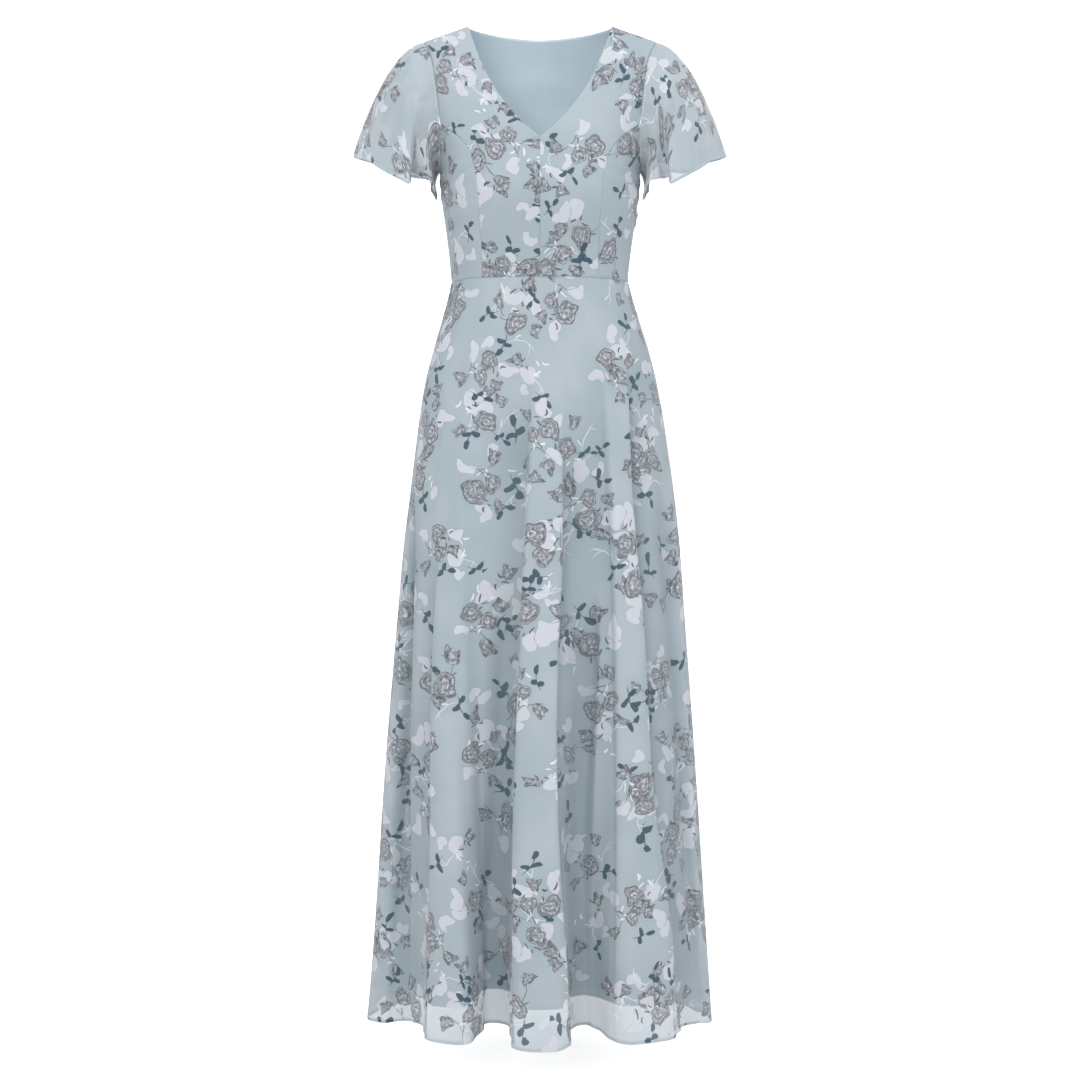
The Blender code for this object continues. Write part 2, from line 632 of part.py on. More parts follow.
def sleeve_points():
    """The wearer's left sleeve: each column springs outwards from the armhole and falls to the hem."""
    rows = len(ARMHOLE) - 1
    half = len(SLEEVE_HEM) * SLEEVE_STEPS // 2
    back = armhole("back", 0, rows, half)[::-1]
    front = armhole("front", 0, rows, half)
    loop = np.concatenate([back[:-1], front[:-1]])
    edge = torso(loop[:, 0], loop[:, 1])
    out = surface_normal(torso, loop[:, 0], loop[:, 1])
    start = edge + out * (CHIFFON_WALL + SEAM_GAP)
    place = np.arange(len(loop)) / SLEEVE_STEPS
    x = column(SLEEVE_HEM, SLEEVE_HEM_COLUMNS, "x")
    y = column(SLEEVE_HEM, SLEEVE_HEM_COLUMNS, "y")
    hem = looped_curve(place, x, y, column(SLEEVE_HEM, SLEEVE_HEM_COLUMNS, "round"))
    hem_z = column(SLEEVE_HEM, SLEEVE_HEM_COLUMNS, "z")
    hem = np.append(hem, eased(place, np.append(hem_z, hem_z[0]))[:, None], axis=1)
    fall = np.linalg.norm(hem - start, axis=-1, keepdims=True)
    upper = 0.5 + 0.5 * np.cos(2 * np.pi * place / len(SLEEVE_HEM))
    away = np.stack([out[:, 0] + SLEEVE_SIDE_SPRING * upper, out[:, 1], -SLEEVE_DROP * upper], axis=-1)
    away = away / np.linalg.norm(away, axis=-1, keepdims=True)
    bend = start + away * fall * SLEEVE_SPRING
    t = np.array(SLEEVE_ROWS)[::-1, None, None]
    return start * (1 - t) ** 2 + 2 * bend * t * (1 - t) + hem * t**2


def closed_grid_normals(points):
    """Outward unit normals of a tube of points, whose last column is followed by its first."""
    along = np.roll(points, -1, axis=1) - np.roll(points, 1, axis=1)
    normal = np.cross(along, np.gradient(points, axis=0))
    return normal / np.linalg.norm(normal, axis=-1, keepdims=True)


def build_sleeves(collection):
    """Two flutter sleeves, each a tube closed under the arm."""
    chiffon = cloth_material("sleeve_chiffon", CHIFFON_COLOUR, 0.75)
    points = sleeve_points()
    inner = points - closed_grid_normals(points) * CHIFFON_WALL
    cloth("sleeve_left", [(points, inner)], chiffon, collection, closed=True)
    cloth("sleeve_right", [mirrored((points, inner))], chiffon, collection, closed=True)


def side_seam_point(z):
    """A point on the wearer's left side seam, on the bodice or the skirt."""
    if z > waist_z(SIDE_SEAM_ANGLE):
        return torso(SIDE_SEAM_ANGLE, z)
    return skirt(float(LEFT_SIDE_ROW), z)


def along_seam(points):
    """Unit vectors outwards and forwards at points that follow the side seam upwards."""
    up = np.gradient(points, axis=0)
    up = up / np.linalg.norm(up, axis=-1, keepdims=True)
    forwards = torso(SIDE_SEAM_ANGLE - 1.0, ZIP_TOP_Z) - torso(SIDE_SEAM_ANGLE + 1.0, ZIP_TOP_Z)
    forwards = np.broadcast_to(forwards / np.linalg.norm(forwards), up.shape)
    out = np.cross(up, forwards)
    out = out / np.linalg.norm(out, axis=-1, keepdims=True)
    return out, forwards


def slider_frame():
    """The slider's own axes at the seam: X out of the cloth, Z up along the seam."""
    heights = ZIP_TOP_Z - SLIDER_LENGTH / 2 + np.array([-SLIDER_LENGTH, 0.0, SLIDER_LENGTH])
    points = np.array([side_seam_point(z) for z in heights])
    out, forwards = along_seam(points)
    x_axis = Vector(out[1])
    y_axis = Vector(-forwards[1])
    z_axis = x_axis.cross(y_axis)
    turn = Matrix((x_axis, y_axis, z_axis)).transposed().to_4x4()
    return Matrix.Translation(Vector(points[1])) @ turn


def box(name, low, high, collection):
    """A box between two corners, its size in its mesh."""
    bpy.ops.mesh.primitive_cube_add(size=1.0)
    item = bpy.context.active_object
    item.name = name
    size = Vector(high) - Vector(low)
    middle = (Vector(high) + Vector(low)) / 2
    item.data.transform(Matrix.Translation(middle) @ Matrix.Diagonal((*size, 1.0)))
    for holder in list(item.users_collection):
        holder.objects.unlink(item)
    collection.objects.link(item)
    return item


def hidden(item):
    """Mark a solid that only shapes another."""
    item.hide_render = True
    item.display_type = "WIRE"
    return item


def build_slider(collection, shapers, enamel):
    """The slider: a plate outside the cloth with a bridge on it, a neck in the seam and a plate inside."""
    base = SEAM_GAP
    top = base + SLIDER_PLATE
    half_width = SLIDER_WIDTH / 2
    half_length = SLIDER_LENGTH / 2
    inner = -CHIFFON_WALL - SLIDER_INNER_GAP
    slider = box("zip_slider", (base, -half_width, -half_length), (top, half_width, half_length), collection)
    half_bridge = BRIDGE_WIDTH / 2
    low_end = -BRIDGE_LENGTH / 2
    high_end = BRIDGE_LENGTH / 2
    leg = BRIDGE_HEIGHT - BRIDGE_CLEAR
    pieces = (
        ("bridge", (top - base, -half_bridge, low_end), (top + BRIDGE_HEIGHT, half_bridge, high_end)),
        ("neck", (inner - base, -SLIDER_NECK / 2, 0.0), (top - base, SLIDER_NECK / 2, half_length - base)),
        ("inner_plate", (inner - SLIDER_PLATE, -half_width, 0.0), (inner, half_width, half_length)),
    )
    window_high = high_end - leg
    window = box(
        "bridge_window",
        (top, -half_width, low_end + leg),
        (top + BRIDGE_CLEAR, half_width, window_high),
        shapers,
    )
    for name, low, high in pieces:
        piece = hidden(box(name, low, high, shapers))
        if name == "bridge":
            opened = piece.modifiers.new("window", "BOOLEAN")
            opened.operation = "DIFFERENCE"
            opened.object = hidden(window)
        joined = slider.modifiers.new(name, "BOOLEAN")
        joined.operation = "UNION"
        joined.object = piece
    for item in (slider, window, *(shapers.objects[name] for name, low, high in pieces)):
        item.matrix_world = slider_frame()
    slider.data.materials.append(enamel)


def build_pull(collection, enamel):
    """The pull: a flat drop with a window at its top whose upper bar turns under the slider's bridge."""
    half_bar = PULL_BAR / 2
    half_neck = PULL_NECK_WIDTH / 2
    half_width = PULL_WIDTH / 2
    half_window = PULL_WINDOW_WIDTH / 2
    round_z = half_width - PULL_LENGTH
    arc = [math.radians(angle) for angle in range(0, -181, -15)]
    drop = [(half_width * math.cos(a), round_z + half_width * math.sin(a)) for a in arc]
    outline = [(half_neck, half_bar)] + drop + [(-half_neck, half_bar)]
    window = [
        (half_window, -half_bar),
        (half_window, -PULL_WINDOW_END),
        (-half_window, -PULL_WINDOW_END),
        (-half_window, -half_bar),
    ]
    curve = bpy.data.curves.new("zip_pull", "CURVE")
    curve.dimensions = "2D"
    curve.fill_mode = "BOTH"
    curve.extrude = half_bar
    for points in (outline, window):
        line = curve.splines.new("POLY")
        line.points.add(len(points) - 1)
        for place, (across, along) in enumerate(points):
            line.points[place].co = (across, along, 0.0, 1.0)
        line.use_cyclic_u = True
    pull = bpy.data.objects.new("zip_pull", curve)
    collection.objects.link(pull)
    weld = pull.modifiers.new("weld", "WELD")
    weld.merge_threshold = WELD_DISTANCE
    upright = Matrix(((0, 0, 1, 0), (1, 0, 0, 0), (0, 1, 0, 0), (0, 0, 0, 1)))
    axis_x = SEAM_GAP + SLIDER_PLATE + PULL_AXIS_HEIGHT
    pull.matrix_world = slider_frame() @ Matrix.Translation((axis_x, 0.0, 0.0)) @ upright
    curve.materials.append(enamel)


def build_zip(collection, shapers):
    """The concealed zip: its tape inside the seam, and the slider and pull at its top."""
    enamel = cloth_material("zip_enamel", ZIP_COLOUR, 0.35, 0.4)
    tape = cloth_material("zip_tape", ZIP_COLOUR, 0.6)
    heights = np.linspace(ZIP_BOTTOM_Z, ZIP_TOP_Z - SLIDER_LENGTH - SEAM_GAP, 15)
    middle = np.array([side_seam_point(z) for z in heights])
    out, forwards = along_seam(middle)
    inside = middle - out * (CHIFFON_WALL + ZIP_TAPE_GAP)
    across = np.array([1.0, 0.0, -1.0])[None, :, None] * ZIP_TAPE_HALF_WIDTH
    strip = inside[:, None] + across * forwards[:, None]
    cloth("side_zip_tape", [(strip, strip - out[:, None] * ZIP_TAPE_WALL)], tape, collection)
    build_slider(collection, shapers, enamel)
    build_pull(collection, enamel)


def main():
    for item in list(bpy.data.objects):
        bpy.data.objects.remove(item, do_unlink=True)
    dress = bpy.data.collections.new("maxi_dress")
    shapers = bpy.data.collections.new("shaping_solids")
    bpy.context.scene.collection.children.link(dress)
    bpy.context.scene.collection.children.link(shapers)
    build_bodice(dress)
    build_skirt(dress)
    build_sleeves(dress)
    build_zip(dress, shapers)


if __name__ == "__main__":
    main()
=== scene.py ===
"""Looks of a V-neck maxi dress in floral chiffon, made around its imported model.

The front faces -Y, the wearer's left is +X and up is +Z, in metres. An angle round the dress is 0 at
the centre front, 90 degrees at the wearer's left side and 180 degrees at the centre back.
"""

import math

import bmesh
import bpy
import numpy as np
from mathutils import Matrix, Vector


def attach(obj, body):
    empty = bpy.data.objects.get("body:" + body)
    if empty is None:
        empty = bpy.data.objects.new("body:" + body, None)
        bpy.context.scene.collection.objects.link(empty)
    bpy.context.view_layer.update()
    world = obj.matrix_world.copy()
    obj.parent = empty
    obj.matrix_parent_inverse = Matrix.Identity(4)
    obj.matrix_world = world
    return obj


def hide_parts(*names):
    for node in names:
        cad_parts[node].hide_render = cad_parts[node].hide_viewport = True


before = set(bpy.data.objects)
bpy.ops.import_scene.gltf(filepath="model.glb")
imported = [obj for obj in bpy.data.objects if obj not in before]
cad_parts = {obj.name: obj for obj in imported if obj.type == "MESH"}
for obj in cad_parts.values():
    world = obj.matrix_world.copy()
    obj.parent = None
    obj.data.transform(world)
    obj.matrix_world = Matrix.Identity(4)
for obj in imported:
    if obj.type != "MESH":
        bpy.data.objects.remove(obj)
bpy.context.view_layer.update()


# ---------------------------------------------------------------------------------------------------
# Bodice lining: a plain, smooth polyester cut like the bodice over it, in a front and a back. It shows
# inside the neck and through the chiffon, and is bagged out, sewn to it round the neck and armholes.

def table(names, *rows):
    """A table's columns by name, as arrays."""
    return dict(zip(names.split(), np.array(rows, dtype=float).T))


SQUARENESS = 2.2
SIDE_SEAM_ANGLE = 97.0
WAIST_FRONT_Z = -0.3722
WAIST_SIDE_Z = -0.3780
UNDERARM_Z = -0.2130
SHOULDER_SLOPE = 0.345
CHEST_FLATTENING = 0.22
BACK_ROUNDNESS = 2.6
NECK_HALF_WIDTH = 0.1064
SHOULDER_HALF_WIDTH = 0.1727
CUP_FULLNESS = 0.009
CUP_X = 0.074
CUP_Z = -0.252
CUP_SPREAD = 0.052
TORSO = table(
    "z half_width front back",
    (-0.400, 0.1330, 0.0985, 0.0905),
    (-0.375, 0.1318, 0.0985, 0.0905),
    (-0.345, 0.1343, 0.1050, 0.0935),
    (-0.310, 0.1386, 0.1150, 0.0980),
    (-0.280, 0.1428, 0.1235, 0.1020),
    (-0.250, 0.1474, 0.1280, 0.1050),
    (-0.213, 0.1500, 0.1270, 0.1070),
    (-0.180, 0.1570, 0.1250, 0.1080),
    (-0.140, 0.1680, 0.1220, 0.1080),
    (-0.100, 0.1760, 0.1200, 0.1080),
    (-0.050, 0.1840, 0.1180, 0.1080),
    (0.000, 0.1900, 0.1180, 0.1080),
    (0.040, 0.1930, 0.1180, 0.1080),
)
TORSO_STEPS = (0.05, 0.00001)

# Front views (x, z) of the neck's edge and of the princess seam, both from their lower end.
NECK_FRONT = (
    (0.0000, -0.1735),
    (0.0268, -0.1500),
    (0.0485, -0.1250),
    (0.0690, -0.0950),
    (0.0815, -0.0690),
    (0.0930, -0.0420),
    (NECK_HALF_WIDTH, 0.0),
)
NECK_BACK_Z = -0.0094
PRINCESS = (
    (0.0850, -0.3740),
    (0.0862, -0.3150),
    (0.0900, -0.2620),
    (0.0940, -0.2240),
    (0.1010, -0.1960),
    (0.1160, -0.1730),
    (0.1468, -0.1480),
)
ARMHOLE = table(
    "z front_angle back_angle",
    (UNDERARM_Z, SIDE_SEAM_ANGLE, SIDE_SEAM_ANGLE),
    (-0.2090, 86.0, 106.0),
    (-0.1960, 76.0, 112.0),
    (-0.1750, 67.5, 115.5),
    (-0.1480, 61.0, 117.0),
    (-0.1000, 58.0, 118.0),
    (-0.0600, 58.5, 118.0),
    (-0.0400, 61.0, 116.5),
    (-0.0232, 66.2, 113.8),
)
ARMHOLE_TOP_ROW = len(ARMHOLE["z"]) - 1
ARMHOLE_SPLIT_ROW = 4
BODICE_DETAIL = 9
BODICE_LINING_DEPTH = 0.0015
LINING_THICKNESS = 0.0004
LINING_TINTS = ((0.3, (0.635, 0.758, 0.820, 1.0)), (0.7, (0.690, 0.805, 0.866, 1.0)))

# The shallow drags below the underarm, the waves above the waist and those of the lining inside the neck:
# their heights, then where each is strongest (x or z) and how far it reaches.
DRAG_HEIGHT, DRAG_LENGTH, DRAG_LEAN = 0.0009, 0.024, 0.55
DRAG_X, DRAG_REACH_X, DRAG_Z, DRAG_REACH_Z = 0.135, 0.040, -0.225, 0.045
WAVE_HEIGHT, WAVE_Z, WAVE_REACH = 0.0006, -0.350, 0.030
DRAPE_HEIGHT, DRAPE_REACH_X, DRAPE_Z, DRAPE_REACH_Z = 0.0009, 0.075, -0.060, 0.055


def bell(distance, reach):
    """1 in the middle, falling to nothing: e to the power of less the square of distance / reach."""
    return np.exp(-((distance / reach) ** 2))


def unit(vectors):
    """Vectors made one long."""
    return vectors / np.maximum(np.linalg.norm(vectors, axis=-1, keepdims=True), 1e-12)


def hermite(t, start, start_way, end, end_way):
    """A cubic from start to end that leaves and arrives along the two ways."""
    leaving = start * (1 + 2 * t) * (1 - t) ** 2 + start_way * t * (1 - t) ** 2
    arriving = end * (3 - 2 * t) * t**2 + end_way * t**2 * (t - 1)
    return leaving + arriving


def spline(at, knots, values):
    """A smooth curve through values at knots: cubic pieces whose slopes are those between neighbours."""
    knots = np.asarray(knots, dtype=float)
    values = np.asarray(values, dtype=float)
    if knots[0] > knots[-1]:
        knots = knots[::-1]
        values = values[::-1]
    slopes = np.gradient(values, knots, axis=0)
    at = np.clip(at, knots[0], knots[-1])
    piece = np.clip(np.searchsorted(knots, at, side="right") - 1, 0, len(knots) - 2)
    span = knots[piece + 1] - knots[piece]
    t = (at - knots[piece]) / span
    if values.ndim > 1:
        t = t[..., None]
        span = span[..., None]
    return hermite(t, values[piece], slopes[piece] * span, values[piece + 1], slopes[piece + 1] * span)


def ring(angle, half_width, front, back):
    """A point on a superellipse: x is the half width times |sin|^(2/squareness), y the depth times
    |cos|^(2/squareness)."""
    sine = np.sin(np.radians(angle))
    cosine = np.cos(np.radians(angle))
    depth = np.where(cosine >= 0, front, back)
    x = half_width * np.sign(sine) * np.abs(sine) ** (2 / SQUARENESS)
    y = -depth * np.sign(cosine) * np.abs(cosine) ** (2 / SQUARENESS)
    return x, y


def sized(z, sizes):
    """A table's half width, front and back depth at heights, as smooth curves."""
    return [spline(z, sizes["z"], sizes[name]) for name in ("half_width", "front", "back")]


def angle_at(x, z):
    """The angle of the torso's front at a distance x from the middle: the ring's formula turned round."""
    return np.degrees(np.arcsin(np.clip(x / sized(z, TORSO)[0], 0, 1) ** (SQUARENESS / 2)))


def shoulder_line(x):
    """The height of the sloping shoulder line."""
    return SHOULDER_SLOPE * (NECK_HALF_WIDTH - np.abs(x))


def torso(angle, z):
    """The bodice's outside: rings through the table's sizes, whose depths fall to nothing, as the root of
    1 less the risen share to a power, between the underarm and the sloping shoulder line, and a round
    bell of fullness at each cup."""
    half_width, front, back = sized(z, TORSO)
    x = ring(angle, half_width, front, back)[0]
    rise = np.clip((z - UNDERARM_Z) / (shoulder_line(x) - UNDERARM_Z), 0, 1)
    front = front * np.sqrt(1 - rise**2) * (1 - CHEST_FLATTENING * rise)
    back = back * np.sqrt(1 - rise**BACK_ROUNDNESS)
    y = ring(angle, half_width, front, back)[1]
    cup = bell(np.abs(x) - CUP_X, CUP_SPREAD) * bell(z - CUP_Z, CUP_SPREAD)
    y = y - CUP_FULLNESS * cup * np.clip(np.cos(np.radians(angle)), 0, 1)
    return np.stack([x, y, z + 0 * x], axis=-1)


def outward(surface, place, z, steps):
    """A surface's outward unit normals: the cross product of small steps round it and up it."""
    along = surface(place + steps[0], z) - surface(place - steps[0], z)
    up = surface(place, z + steps[1]) - surface(place, z - steps[1])
    return unit(np.cross(along, up))


def waist_z(angle):
    """The waist seam's height: the side's, raised by the cosine of the angle towards the centre front."""
    middle = np.clip(np.cos(np.radians(angle)), 0, 1)
    return WAIST_SIDE_Z + (WAIST_FRONT_Z - WAIST_SIDE_Z) * middle


def coons(left, right, bottom, top):
    """A grid between four edges of (angle, z) points: the two lofts' sum less the corners' own loft."""
    u = np.linspace(0, 1, len(bottom))[None, :, None]
    v = np.linspace(0, 1, len(left))[:, None, None]
    across = left[:, None] * (1 - u) + right[:, None] * u
    upward = bottom[None] * (1 - v) + top[None] * v
    corners = (bottom[0] * (1 - u) + bottom[-1] * u) * (1 - v) + (top[0] * (1 - u) + top[-1] * u) * v
    return across + upward - corners


def stretch(start, end, steps):
    """Points evenly spaced from start to end."""
    t = np.linspace(0, 1, steps + 1)[:, None]
    return np.array(start) * (1 - t) + np.array(end) * t


def seen_curve(table, steps):
    """A table of front-view points (x, z) as evenly spaced (angle, z) points on a smooth curve."""
    points = np.array(table)
    knots = np.arange(len(points), dtype=float)
    fine = spline(np.linspace(0, knots[-1], 400), knots, points)
    run = np.append(0, np.cumsum(np.linalg.norm(np.diff(fine, axis=0), axis=1)))
    even = np.linspace(0, run[-1], steps + 1)
    x = np.interp(even, run, fine[:, 0])
    z = np.interp(even, run, fine[:, 1])
    return np.stack([angle_at(x, z), z], axis=-1)


def armhole(side, first_row, last_row, steps):
    """Points along the armhole's front or back edge, between two rows of its table."""
    rows = np.linspace(first_row, last_row, steps + 1)
    knots = np.arange(ARMHOLE_TOP_ROW + 1.0)
    return np.stack([spline(rows, knots, ARMHOLE[name]) for name in (side + "_angle", "z")], axis=-1)


def waist_run(first_angle, last_angle, steps):
    """Points along the waist seam."""
    angles = np.linspace(first_angle, last_angle, steps + 1)
    return np.stack([angles, waist_z(angles)], axis=-1)


def princess_run(detail, end):
    """Points along the princess seam, from the waist to its end on the armhole."""
    run = seen_curve(PRINCESS, 7 * detail)
    run[-1] = end
    run[0, 1] = waist_z(run[0, 0])
    return run


def side_run(steps):
    """Points along the side seam, from the waist to the underarm."""
    return stretch((SIDE_SEAM_ANGLE, waist_z(SIDE_SEAM_ANGLE)), (SIDE_SEAM_ANGLE, UNDERARM_Z), steps)


def centre_front_grid(detail):
    """The left centre front panel's (angle, z), from the centre front to the princess seam and armhole."""
    above = armhole("front", ARMHOLE_SPLIT_ROW, ARMHOLE_TOP_ROW, 6 * detail)
    right = np.concatenate([princess_run(detail, above[0]), above[1:]])
    middle = stretch((0.0, WAIST_FRONT_Z), (0.0, NECK_FRONT[0][1]), 6 * detail)
    left = np.concatenate([middle, seen_curve(NECK_FRONT, 7 * detail)[1:]])
    bottom = waist_run(0.0, right[0, 0], 5 * detail)
    shoulder_x = np.linspace(NECK_HALF_WIDTH, SHOULDER_HALF_WIDTH, 5 * detail + 1)
    shoulder_z = shoulder_line(shoulder_x)
    top = np.stack([angle_at(shoulder_x, shoulder_z), shoulder_z], axis=-1)
    left[-1] = top[0]
    right[-1] = top[-1]
    return coons(left, right, bottom, top)


def side_front_grid(detail):
    """The left side front panel's (angle, z), from the princess seam to the side seam and armhole."""
    above = armhole("front", 0, ARMHOLE_SPLIT_ROW, 5 * detail)[::-1]
    princess = princess_run(detail, above[0])
    bottom = waist_run(princess[0, 0], SIDE_SEAM_ANGLE, 5 * detail)
    return coons(princess, side_run(7 * detail), bottom, above)


def half_back_grid(detail):
    """The left half of the back's (angle, z), from the side seam and armhole to the centre back."""
    above = armhole("back", 0, ARMHOLE_TOP_ROW, 8 * detail)
    right = np.concatenate([side_run(5 * detail), above[1:]])
    middle = stretch((180.0, WAIST_SIDE_Z), (180.0, NECK_BACK_Z), 13 * detail)
    bottom = waist_run(SIDE_SEAM_ANGLE, 180.0, 8 * detail)
    shoulder_x = np.linspace(SHOULDER_HALF_WIDTH, NECK_HALF_WIDTH, 3 * detail + 1)
    neck_x = NECK_HALF_WIDTH * np.cos(np.radians(np.linspace(0, 90, 5 * detail + 1)))
    x = np.concatenate([shoulder_x, neck_x[1:]])
    neck_z = NECK_BACK_Z * np.clip(1 - (x / NECK_HALF_WIDTH) ** 2, 0, 1)
    z = np.where(x < NECK_HALF_WIDTH, neck_z, shoulder_line(x))
    top = np.stack([180 - angle_at(x, z), z], axis=-1)
    right[-1] = top[0]
    middle[-1] = top[-1]
    return coons(right, middle, bottom, top)


def body_ease(points):
    """How far the worn cloth stands off the plain torso: shallow drags that run in and down from the
    underarm, each a sine across the drag's lean faded by a bell round the underarm, and broad soft waves
    above the waist."""
    x, y, z = np.moveaxis(points, -1, 0)
    side = np.abs(x)
    lean = (z - UNDERARM_Z) + DRAG_LEAN * (side - 0.150)
    drag = bell(side - DRAG_X, DRAG_REACH_X) * bell(z - DRAG_Z, DRAG_REACH_Z)
    wave = bell(z - WAVE_Z, WAVE_REACH) * np.sin(2 * math.pi * (x * 13.0 + 0.15 * np.sin(60 * z)))
    return DRAG_HEIGHT * drag * np.sin(2 * math.pi * lean / DRAG_LENGTH) + WAVE_HEIGHT * wave


def arcs(points, axis):
    """The running length along a grid's rows or columns, from their first point."""
    step = np.linalg.norm(np.diff(points, axis=axis), axis=-1)
    start = np.zeros_like(np.take(step, [0], axis=axis))
    return np.concatenate([start, np.cumsum(step, axis=axis)], axis=axis)


def between(table, across, up):
    """Values of a table at places between its columns and rows, blended from the four around each."""
    left = np.clip(np.floor(across).astype(int), 0, table.shape[1] - 2)
    low = np.clip(np.floor(up).astype(int), 0, table.shape[0] - 2)
    u = across - left
    v = up - low
    lower = table[low, left] * (1 - u) + table[low, left + 1] * u
    upper = table[low + 1, left] * (1 - u) + table[low + 1, left + 1] * u
    return lower * (1 - v) + upper * v


def torso_cut(grid, middle, side, place):
    """A bodice panel's flat cut: the torso's arc length round from a middle angle at the point's height,
    and up from the waist at its angle, with the waist's middle at a place on the roll of cloth."""
    angles = np.linspace(0, 180, 181)
    heights = np.linspace(-0.40, 0.0, 201)
    surface = torso(*np.meshgrid(angles, heights))
    round_it = arcs(surface, 1)
    round_it = round_it - round_it[:, [int(middle)]]
    up_it = arcs(surface, 0)
    rows = (grid[..., 1] + 0.40) / 0.002
    u = between(round_it, grid[..., 0], rows) * side
    v = between(up_it, grid[..., 0], rows)
    return np.stack([u, v], axis=-1)[:, ::side] + np.array(place)


def added(name, data):
    """A new object of a mesh, lamp or camera, in the scene."""
    thing = bpy.data.objects.new(name, data)
    bpy.context.scene.collection.objects.link(thing)
    return thing


def remeshed(mesh, nearness, flatness=None):
    """Merges a mesh's points that lie nearer than this, and its faces that meet flatter than this, and
    shades it smooth."""
    work = bmesh.new()
    work.from_mesh(mesh)
    bmesh.ops.remove_doubles(work, verts=work.verts, dist=nearness)
    if flatness is not None:
        bmesh.ops.dissolve_limit(work, angle_limit=flatness, verts=work.verts, edges=work.edges)
    work.to_mesh(mesh)
    work.free()
    mesh.shade_smooth()


def cloth_piece(name, patches, material):
    """A sheet of cloth from patches welded where they meet. A patch is a grid of points, rows upward and
    columns round the dress, its flat cut, which becomes a UV map in metres, and how folded it is, or, less
    than 0, how strong the painted shade in the hollow of a fold is."""
    corners = (np.s_[:-1, :-1], np.s_[:-1, 1:], np.s_[1:, 1:], np.s_[1:, :-1])
    quads = []
    flat = []
    first = 0
    for points, cut, folded in patches:
        number = first + np.arange(points[..., 0].size).reshape(points.shape[:2])
        quads.append(np.stack([number[corner] for corner in corners], axis=-1).reshape(-1, 4))
        flat.append(np.stack([cut[corner] for corner in corners], axis=2).reshape(-1, 2))
        first += number.size
    mesh = bpy.data.meshes.new(name)
    places = np.concatenate([points.reshape(-1, 3) for points, cut, folded in patches])
    mesh.from_pydata(places, [], np.concatenate(quads))
    mesh.uv_layers.new(name="cut").data.foreach_set("uv", np.concatenate(flat).ravel())
    # The attribute: above 0 where the cloth lies in layers, below 0 the painted shade of the hollow of a
    # fold.
    folds_and_painted_shade = mesh.attributes.new("folded", "FLOAT", "POINT")
    folds_and_painted_shade.data.foreach_set("value", np.concatenate([folded.ravel() for points, cut, folded in patches]))
    remeshed(mesh, 0.00002)
    mesh.materials.append(material)
    return added(name, mesh)


def flat_patch(points, cut):
    """A patch that is folded nowhere."""
    return points, cut, np.zeros(points.shape[:2])


def panel(node, patches, material, thickness=0.0):
    """A cloth piece on the dress in place of its node, with the cut that it was made from, and thickened
    inwards where it is given a thickness."""
    piece = cloth_piece(node + "_cloth", patches, material)
    if thickness:
        wall = piece.modifiers.new("thickness", "SOLIDIFY")
        wall.thickness = thickness
        wall.offset = -1.0
    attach(piece, "dress")
    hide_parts(node)


def bodice_patch(grid, middle, side, depth, place):
    """A patch of the bodice at the wearer's left (side 1) or right (-1), where its columns run the other
    way to stay facing out: the torso, eased as worn, and drawn in by a depth along its normals. Its cut
    is measured from a middle angle."""
    to_side = np.array([side, 1.0, 1.0])
    points = torso(grid[..., 0], grid[..., 1]) * to_side
    normals = outward(torso, grid[..., 0], grid[..., 1], TORSO_STEPS) * to_side
    points = points + normals * (body_ease(points) - depth)[..., None]
    points = points[:, ::side]
    return flat_patch(points, torso_cut(grid, middle, side, place))


def made(tree, kind, wired, **settings):
    """A new shader node with these settings, its inputs, by name or number, joined or set; gives its
    outputs."""
    node = tree.nodes.new("ShaderNode" + kind)
    for label, value in settings.items():
        setattr(node, label, value)
    for label, value in wired.items():
        if isinstance(value, bpy.types.NodeSocket):
            tree.links.new(value, node.inputs[label])
        else:
            node.inputs[label].default_value = value
    return node.outputs


def sums(tree, operation, *values):
    """A Math node's value."""
    return made(tree, "Math", dict(enumerate(values)), operation=operation)[0]


def arrows(tree, operation, *values):
    """A Vector Math node's vector, or its number for a dot product."""
    outputs = made(tree, "VectorMath", dict(enumerate(values)), operation=operation)
    return outputs["Value" if operation == "DOT_PRODUCT" else "Vector"]


def scaled(tree, vector, factor):
    """A vector times a number."""
    return made(tree, "VectorMath", {0: vector, "Scale": factor}, operation="SCALE")["Vector"]


def noise(tree, vector, rate, detail, dimensions="3D", roughness=0.5):
    """A noise's value (0) and colour (1)."""
    wired = {"Vector": vector, "Scale": rate, "Detail": detail, "Roughness": roughness}
    return made(tree, "TexNoise", wired, noise_dimensions=dimensions)


def shaded(tree, value, stops):
    """The colour of a value on a ramp of stops, each a value and its colour."""
    colours = made(tree, "ValToRGB", {0: value})
    elements = colours[0].node.color_ramp.elements
    for stop, tint in stops[1:-1]:
        elements.new(stop)
    for element, (stop, tint) in zip(elements, stops):
        element.position = stop
        element.color = tint
    return colours[0]


def new_group(name, takes, gives):
    """A shader node group with these inputs (name: default) and outputs (name: kind of value)."""
    tree = bpy.data.node_groups.new(name, "ShaderNodeTree")
    for label, start in takes.items():
        kind = "NodeSocketFloat" if isinstance(start, float) else "NodeSocketVector"
        tree.interface.new_socket(label, in_out="INPUT", socket_type=kind).default_value = start
    for label, kind in gives.items():
        tree.interface.new_socket(label, in_out="OUTPUT", socket_type="NodeSocket" + kind)
    entry = tree.nodes.new("NodeGroupInput")
    leave = tree.nodes.new("NodeGroupOutput")
    return tree, entry.outputs, leave.inputs


def placed(tree, group, **values):
    """An instance of a group in a tree, with its inputs joined or set; gives its outputs."""
    return made(tree, "Group", values, node_tree=group)


def new_material(name, **constants):
    """A material, its tree and its shader's sockets, with constants set on those, by names without gaps."""
    material = bpy.data.materials.new(name)
    material.use_nodes = True
    tree = material.node_tree
    shader = tree.nodes["Principled BSDF"].inputs
    for label, value in constants.items():
        shader[label.replace("_", " ")].default_value = value
    return material, tree, shader


